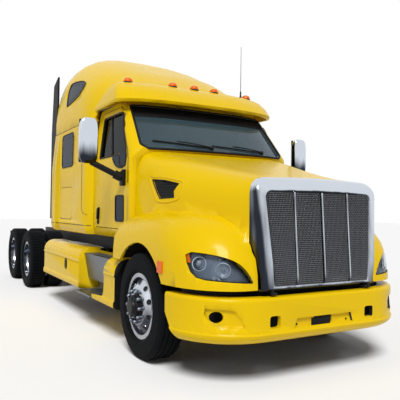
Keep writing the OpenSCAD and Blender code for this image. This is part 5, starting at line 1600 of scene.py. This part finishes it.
@dataclass
class Doors:
    """Cab doors with handles and mirrors, and the luggage doors."""

    handle: tuple[float, float] = (-1.560, 1.335)
    mirror_at: tuple[float, float, float] = (-0.790, 1.445, 2.140)
    mirror_half: tuple[float, float, float] = (0.054, 0.099, 0.243)
    mirror_power: float = 4.5
    foot: tuple[float, float] = (-0.715, 1.760)
    reveal: tuple[float, float, float, float] = (-1.56, -0.672, 1.895, 2.518)

    def build(self) -> None:
        """Builds both sides."""
        for side in Side:
            door = f"door_{side.value}"
            skin = Dresser.show(door, YELLOW_PAINT, Slot.PAINT, inner=CABIN_TRIM, middle=(-1.2, 0.0, 1.8), reach=0.4)
            self.blacken_reveal(skin)
            Dresser.show(f"luggage_{door}", YELLOW_PAINT, Slot.PAINT, inner=CABIN_TRIM, middle=(-2.75, 0.0, 1.5), reach=0.3)
            self.door_handle(side)
            self.mirror(side)

    def blacken_reveal(self, skin: bpy.types.Object) -> None:
        """Makes the faces round the edges of a door's window opening black."""
        rear, front, low, high = self.reveal
        skin.data.materials.append(GASKET.material())
        for face in skin.data.polygons:
            station = face.center.x - FRONT_AXLE_X
            if rear < station < front and low < face.center.z < high and abs(face.normal.y) < 0.5:
                face.material_index = 2

    def door_handle(self, side: Side) -> None:
        """Black paddle in its cup, with the lock under it."""
        station, z = self.handle
        spot, _ = Yard.on_side(side, station, z, f"door_{side.value}")
        out = side.sign
        corners = [spot + Vector((d, 0.0, h)) for d, h in ((-0.048, -0.105), (0.030, -0.105), (0.050, 0.105), (-0.028, 0.105))]
        sketch = Sketch().plate([c - Vector((0.0, out * 0.001, 0.0)) for c in corners], Vector((0.0, out * 0.007, 0.0)), 0.024,
                                0.003)
        grip = [spot + Vector((d, out * 0.006, h))
                for d, h in ((-0.022, -0.045), (0.012, -0.045), (0.032, 0.090), (-0.006, 0.090))]
        sketch.plate(grip, Vector((0.0, out * 0.020, 0.0)), 0.012, 0.006)
        sketch.turned([(0.013, 0.0), (0.013, 0.006), (0.009, 0.008), (0.0, 0.0075)],
                      spot + Vector((-0.012, out * 0.006, -0.076)), (0.0, out, 0.0), 20)
        sketch.piece(f"door_handle_{side.value}", BLACK_PLASTIC, f"door_{side.value}", Slot.BLACK_PLASTIC)

    def mirror(self, side: Side) -> None:
        """Bright mirror head on a black arm, with its two glasses behind."""
        door = f"door_{side.value}"
        station, y, z = self.mirror_at
        half = Vector(self.mirror_half)
        centre = at(station, side.sign * y, z)
        head = Sketch()
        bmesh.ops.create_cube(head.bm, size=2.0)
        bmesh.ops.subdivide_edges(head.bm, edges=head.bm.edges[:], cuts=13, use_grid_fill=True)
        for vert in head.bm.verts:
            length = sum(abs(c) ** self.mirror_power for c in vert.co) ** (1.0 / self.mirror_power)
            vert.co = centre + Vector([c / length * h for c, h in zip(vert.co, half)])
        # Painted reflection: the mirror head shades from the ground's colour at its foot to the sky's colour at its
        # top.
        head_piece = head.piece(f"mirror_head_{side.value}", CHROME, door, Slot.CHROME, 50.0, (z, half.z))
        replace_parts(head_piece, f"mirror_{side.value}")
        rim = Sketch().block(centre - Vector((0.055, 0.090, 0.232)), centre + Vector((-0.030, 0.090, 0.232)), 0.012)
        rim.piece(f"mirror_rim_{side.value}", BLACK_PLASTIC, door, Slot.BLACK_PLASTIC)
        back = centre.x - 0.0555
        glasses = Sketch()
        for low, high in ((-0.215, -0.090), (-0.075, 0.215)):
            pane = ((-0.076, low), (0.076, low), (0.076, high), (-0.076, high))
            corners = [Vector((back, centre.y + u, centre.z + v)) for u, v in pane]
            glasses.plate(corners, Vector((0.004, 0.0, 0.0)), 0.016, 0.001)
        glasses.piece(f"mirror_glasses_{side.value}", CHROME, door, Slot.CHROME)
        self.mirror_arm(side, centre)

    def mirror_arm(self, side: Side, centre: Vector) -> None:
        """Black arm from the mirror's foot on the door up to its head."""
        door = f"door_{side.value}"
        station, z = self.foot
        spot, _ = Yard.on_side(side, station, z, door)
        out = side.sign
        low = spot + Vector((0.0, out * 0.040, 0.0))
        high = Vector((centre.x, centre.y - out * 0.03, centre.z - 0.225))
        sketch = Sketch().tube([low, low.lerp(high, 0.3), low.lerp(high, 0.7), high], 0.032, 12)
        sketch.tube([low, low.lerp(high, 0.22)], 0.048, 12)
        corners = [spot + Vector((d, -out * 0.002, h))
                   for d, h in ((-0.045, -0.090), (0.045, -0.090), (0.045, 0.090), (-0.045, 0.060))]
        sketch.plate(corners, Vector((0.0, out * 0.045, 0.0)), 0.015, 0.008)
        sketch.piece(f"mirror_arm_{side.value}", BLACK_PLASTIC, door, Slot.BLACK_PLASTIC)


@dataclass
class CabTop:
    """Marker lamps, whip antenna and wipers."""

    lamps: tuple[Point, ...] = ((-1.190, -0.850), (-1.110, -0.297), (-1.100, 0.0), (-1.110, 0.297), (-1.190, 0.850))
    antenna: Point = (-1.165, 0.750)
    antenna_top: float = 3.618
    wipers: tuple[tuple[Point, Point], ...] = (((0.60, 2.10), (-0.10, 2.135)), ((-0.12, 2.10), (-0.80, 2.150)))

    def build(self) -> None:
        """Builds lamps, antenna and wipers."""
        self.marker_lamps()
        self.whip()
        self.wiper_pair()

    def marker_lamps(self) -> None:
        """Five amber lamps on black bases along the visor."""
        bases, domes = Sketch(), Sketch()
        for station, y in self.lamps:
            spot, _ = Yard.surface(at(station, y, FAR_ABOVE), DOWNWARD, "visor", "roof")
            up = Vector((0.12, 0.0, 1.0)).normalized()
            bases.turned([(0.060, -0.014), (0.060, 0.004), (0.056, 0.010), (0.040, 0.011), (0.0, 0.011)], spot, up, 32)
            domes.turned([(0.055, 0.009), (0.054, 0.022), (0.049, 0.035), (0.040, 0.046), (0.026, 0.053), (0.012, 0.056),
                          (0.0, 0.0565)],
                         spot, up, 32)
        bases.piece("marker_lamp_bases", BLACK_PLASTIC, "chassis", Slot.BLACK_PLASTIC)
        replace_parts(domes.piece("marker_lamp_domes", AMBER_LENS, "chassis", Slot.AMBER, 50.0), "roof_lamps")

    def whip(self) -> None:
        """Thin whip antenna on its foot."""
        station, y = self.antenna
        spot, _ = Yard.surface(at(station, y, FAR_ABOVE), DOWNWARD, "visor", "roof")
        height = self.antenna_top - spot.z
        sketch = Sketch().turned([(0.026, -0.012), (0.026, 0.004), (0.020, 0.012), (0.011, 0.030), (0.010, 0.085),
                                  (0.006, 0.090), (0.0042, 0.094),
                                  (0.0026, height - 0.008), (0.0045, height - 0.005), (0.0, height)], spot, (0.0, 0.0, 1.0), 12)
        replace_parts(sketch.piece("whip_antenna", BLACK_PLASTIC, "chassis", Slot.BLACK_PLASTIC), "cab_fittings")

    def wiper_pair(self) -> None:
        """Two wipers parked along the foot of the windscreen."""
        sketch = Sketch()
        for (y0, z0), (y1, z1) in self.wipers:
            blade, arm = [], []
            for i in range(9):
                t = i / 8
                start = at(FAR_AHEAD, y0 + (y1 - y0) * t, z0 + 0.01 + (z1 - z0) * t)
                spot, normal = Yard.surface(start, BACKWARD, "windscreen", "cab_shell")
                blade.append(spot + normal * 0.012)
                arm.append(spot + normal * (0.020 + 0.022 * math.sin(math.pi * t)))
            sketch.tube(blade, 0.008, 6)
            sketch.tube(arm[:6], 0.007, 6)
            sketch.turned([(0.022, -0.02), (0.022, 0.012), (0.012, 0.022), (0.0, 0.024)], blade[0], (0.6, 0.0, 0.8), 16)
        sketch.piece("wipers", BLACK_PLASTIC, "chassis", Slot.BLACK_PLASTIC)


@dataclass
class Steps:
    """Step wells with their tread plates and raised bars, and the fairings' latches."""

    rear: float = -1.900
    front: float = -0.960
    treads: tuple[tuple[float, float, float, float, float], ...] = (
        (0.394, 0.945, 1.205, -1.885, -1.350), (0.394, 0.945, 1.110, -1.345, -0.985), (0.855, 0.945, 1.105, -1.885, -0.985))
    pitch: float = 0.056
    bar: tuple[float, float, float] = (0.036, 0.009, 0.005)
    latch: tuple[Point, Point] = ((-2.556, 0.596), (-2.466, 0.734))
    well_y: float = 0.930
    wall_low: float = 0.395
    wall_high: float = 0.540

    def build(self) -> None:
        """Builds plates, bars and latch."""
        Dresser.soften(Dresser.show("steps", TREAD_PLATE, Slot.ALUMINIUM), 0.003)
        self.bars()
        self.well_wall()
        self.fairing_latch()

    def well_wall(self) -> None:
        """Plain plate on the well's wall over the lower tread."""
        low = at(self.rear + 0.02, -self.well_y - 0.006, self.wall_low)
        high = at(self.front - 0.02, -self.well_y + 0.002, self.wall_high)
        Sketch().block(low, high).mirrored().piece("step_well_plates", BRUSHED, "chassis", Slot.ALUMINIUM)

    def bars(self) -> None:
        """Raised bars on the treads, turned left and right by turns."""
        sketch = Sketch()
        for z, inner, outer, rear, front in self.treads:
            columns = int((front - rear) / self.pitch)
            rows = int((outer - inner) / self.pitch)
            for i in range(columns):
                for j in range(rows):
                    spot = at(rear + (i + 0.5) * self.pitch, -(inner + (j + 0.5) * self.pitch), z)
                    turn = Matrix.Rotation(math.radians(45.0 if (i + j) % 2 else -45.0), 4, "Z")
                    size = Matrix.Diagonal((*self.bar, 1.0))
                    bmesh.ops.create_cube(sketch.bm, size=1.0, matrix=Matrix.Translation(spot) @ turn @ size)
        sketch.mirrored().piece("step_tread_bars", BRUSHED, "chassis", Slot.ALUMINIUM)

    def fairing_latch(self) -> None:
        """Upright oval latch on each fairing: a dark ring round a dark paddle."""
        (d0, z0), (d1, z1) = self.latch
        outline = round_corners(((d0, z0), (d1, z0), (d1, z1), (d0, z1)), 0.042, 6)
        sketch = Sketch().tube(Yard.trace(Side.RIGHT, spaced(outline, 0.02), "side_fairings"), 0.008, 8, closed=True)
        corners = Yard.trace(Side.RIGHT, spaced(grown(outline, -0.020), 0.03), "side_fairings")
        sketch.plate(corners, Vector((0.0, -0.005, 0.0)))
        sketch.mirrored().piece("fairing_latches", BLACK_PLASTIC, "chassis", Slot.BLACK_PLASTIC)


@dataclass
class Cabin:
    """Dash, steering wheel, seats and bunk."""

    seat_y: float = 0.490
    seat_w: float = 0.470
    floor_z: float = 1.147
    wheel_base: tuple[float, float, float] = (-0.977, 0.490, 1.830)
    wheel_tilt: float = -62.0
    swell: float = 0.020
    pressure: float = 4.0
    frames: int = 20

    def build(self) -> None:
        """Builds everything inside."""
        for name in ("cab_floor", "bunk_box"):
            Dresser.show(name, DARK_TRIM, Slot.INTERIOR)
        Dresser.show("dash", CABIN_TRIM, Slot.INTERIOR)
        self.instruments()
        for side in Side:
            self.seat(side)
        self.mattress()

    def instruments(self) -> None:
        """Hood over the gauges and the air vents."""
        station, y, z = self.wheel_base
        sketch = Sketch().block(at(-0.975, y - 0.26, 1.905), at(-0.70, y + 0.26, 1.965), 0.02)
        for i in range(4):
            sketch.block(at(-0.991, -0.62 + i * 0.22, 1.78), at(-0.985, -0.48 + i * 0.22, 1.85), 0.004)
        sketch.piece("dash_trim", DARK_TRIM, "chassis", Slot.INTERIOR)
        column = Sketch().turned([(0.040, 0.128), (0.066, 0.130), (0.070, 0.146), (0.060, 0.164), (0.0, 0.168)],
                                 at(station, y, z),
                                 (math.sin(math.radians(self.wheel_tilt)), 0.0, math.cos(math.radians(self.wheel_tilt))), 32)
        column.piece("steering_boss", DARK_TRIM, "chassis", Slot.INTERIOR)

    def cushion(self, name: str, low: Vector, high: Vector, finish: Finish, voxel: float,
                lean: float = 0.0) -> bpy.types.Object:
        """One padded piece, swollen by a cloth simulation.

        Args:
            name: Name of the piece.
            low: Lowest corner.
            high: Highest corner.
            finish: Its cloth.
            voxel: Size of the simulated cells.
            lean: Shift of the top along the truck.

        Returns:
            The piece.
        """
        margin = Vector((self.swell, self.swell, self.swell)) * 0.5
        sketch = Sketch().block(low + margin, high - margin, 0.035, 4)
        for vert in sketch.bm.verts:
            vert.co.x += lean * (vert.co.z - low.z) / (high.z - low.z)
        rest = sketch.piece(name, finish, "chassis", Slot.CLOTH, 180.0)
        self.inflate(rest, voxel)
        crown = rest.modifiers.new("smooth_cloth", "SUBSURF")
        crown.levels = crown.render_levels = 1
        return rest

    def inflate(self, made: bpy.types.Object, voxel: float) -> None:
        """Blows the piece up a little and keeps the result in its mesh.

        Args:
            made: Piece to swell.
            voxel: Size of the cells that it is remeshed to.
        """
        scene = bpy.context.scene
        remesh = made.modifiers.new("cells", "REMESH")
        remesh.mode = "VOXEL"
        remesh.voxel_size = voxel
        self.settle(made)
        before = [v.co.copy() for v in made.data.vertices]
        cloth = made.modifiers.new("cloth", "CLOTH")
        cloth.settings.use_pressure = True
        cloth.settings.uniform_pressure_force = self.pressure
        cloth.settings.effector_weights.gravity = 0.0
        cloth.point_cache.frame_start, cloth.point_cache.frame_end = 1, self.frames
        for frame in range(1, self.frames + 1):
            scene.frame_set(frame)
        self.settle(made)
        for vert, start in zip(made.data.vertices, before):
            step = vert.co - start
            if step.length > self.swell * 0.5:
                vert.co = start + step.normalized() * self.swell * 0.5
        scene.frame_set(1)

    @staticmethod
    def settle(made: bpy.types.Object) -> None:
        """Applies a piece's modifiers to its mesh."""
        ready = made.evaluated_get(bpy.context.evaluated_depsgraph_get())
        mesh = bpy.data.meshes.new_from_object(ready)
        made.modifiers.clear()
        old, made.data = made.data, mesh
        mesh.name = old.name
        bpy.data.meshes.remove(old)
        mesh.polygons.foreach_set("use_smooth", [True] * len(mesh.polygons))

    def seat(self, side: Side) -> None:
        """One air seat: plinth, cushion, backrest and headrest."""
        y = side.sign * self.seat_y
        half = self.seat_w / 2
        plinth = Sketch().block(at(-1.62, y - 0.17, self.floor_z), at(-1.20, y + 0.17, self.floor_z + 0.06), 0.01)
        plinth.block(at(-1.58, y - 0.13, self.floor_z + 0.05), at(-1.24, y + 0.13, 1.40), 0.03)
        plinth.block(at(-1.63, y - 0.21, 1.385), at(-1.18, y + 0.21, 1.430), 0.012)
        base = plinth.piece(f"seat_plinth_{side.value}", DARK_TRIM, "chassis", Slot.INTERIOR)
        if side is Side.RIGHT:
            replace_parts(base, "seats")
        name = side.value
        self.cushion(f"seat_cushion_{name}", at(-1.64, y - half, 1.43), at(-1.145, y + half, 1.59), SEAT_CLOTH, 0.012)
        self.cushion(f"seat_back_{name}", at(-1.625, y - half + 0.01, 1.585), at(-1.505, y + half - 0.01, 2.130), SEAT_CLOTH,
                     0.012, -0.055)
        self.cushion(f"seat_head_{name}", at(-1.685, y - 0.14, 2.125), at(-1.585, y + 0.14, 2.280), SEAT_CLOTH, 0.010)

    def mattress(self) -> None:
        """Mattress of the bunk."""
        low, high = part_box("bunk")
        made = self.cushion("bunk_mattress", low, high, BED_CLOTH, 0.022)
        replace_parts(made, "bunk")


@dataclass
class Chassis:
    """Frame, running gear, tanks, coupling, lamps and mud guards."""

    finishes: tuple[tuple[str, Finish, Slot], ...] = (
        ("frame", CHASSIS_BLACK, Slot.CHASSIS),
        ("air_dam", BLACK_PLASTIC, Slot.CHASSIS),
        ("powertrain", CAST_IRON, Slot.CASTINGS),
        ("front_axle", CHASSIS_BLACK, Slot.CHASSIS),
        ("rear_axles", CHASSIS_BLACK, Slot.CHASSIS),
        ("suspension", CHASSIS_BLACK, Slot.CHASSIS),
        ("fuel_tanks", POLISHED, Slot.ALUMINIUM),
        ("arch_liners", BLACK_PLASTIC, Slot.BLACK_PLASTIC),
        ("fifth_wheel_base", CHASSIS_BLACK, Slot.CHASSIS),
        ("fifth_wheel_plate", CAST_IRON, Slot.CASTINGS),
        ("mud_guards", BLACK_PLASTIC, Slot.BLACK_PLASTIC),
        ("tail_lamps", RED_LENS, Slot.RED),
        ("knuckle_right", CAST_IRON, Slot.CASTINGS),
        ("knuckle_left", CAST_IRON, Slot.CASTINGS),
        ("tie_rod", CHASSIS_BLACK, Slot.CASTINGS),
    )

    def build(self) -> None:
        """Shows the chassis."""
        for name, finish, slot in self.finishes:
            Dresser.show(name, finish, slot)


def main() -> None:
    """Builds the truck's looks round its solids."""
    logging.basicConfig(level=logging.INFO, format="%(name)s: %(message)s")
    Yard.open()
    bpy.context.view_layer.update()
    for part in (Studio(), BodyWork(), Glazing(), GrilleFront(), HeadLamps(), HoodTrim(), Wheels(), Doors(), CabTop(), Steps(),
                 Cabin(), Chassis()):
        part.build()
        LOG.info("%s is built", type(part).__name__)


if __name__ == "__main__":
    main()
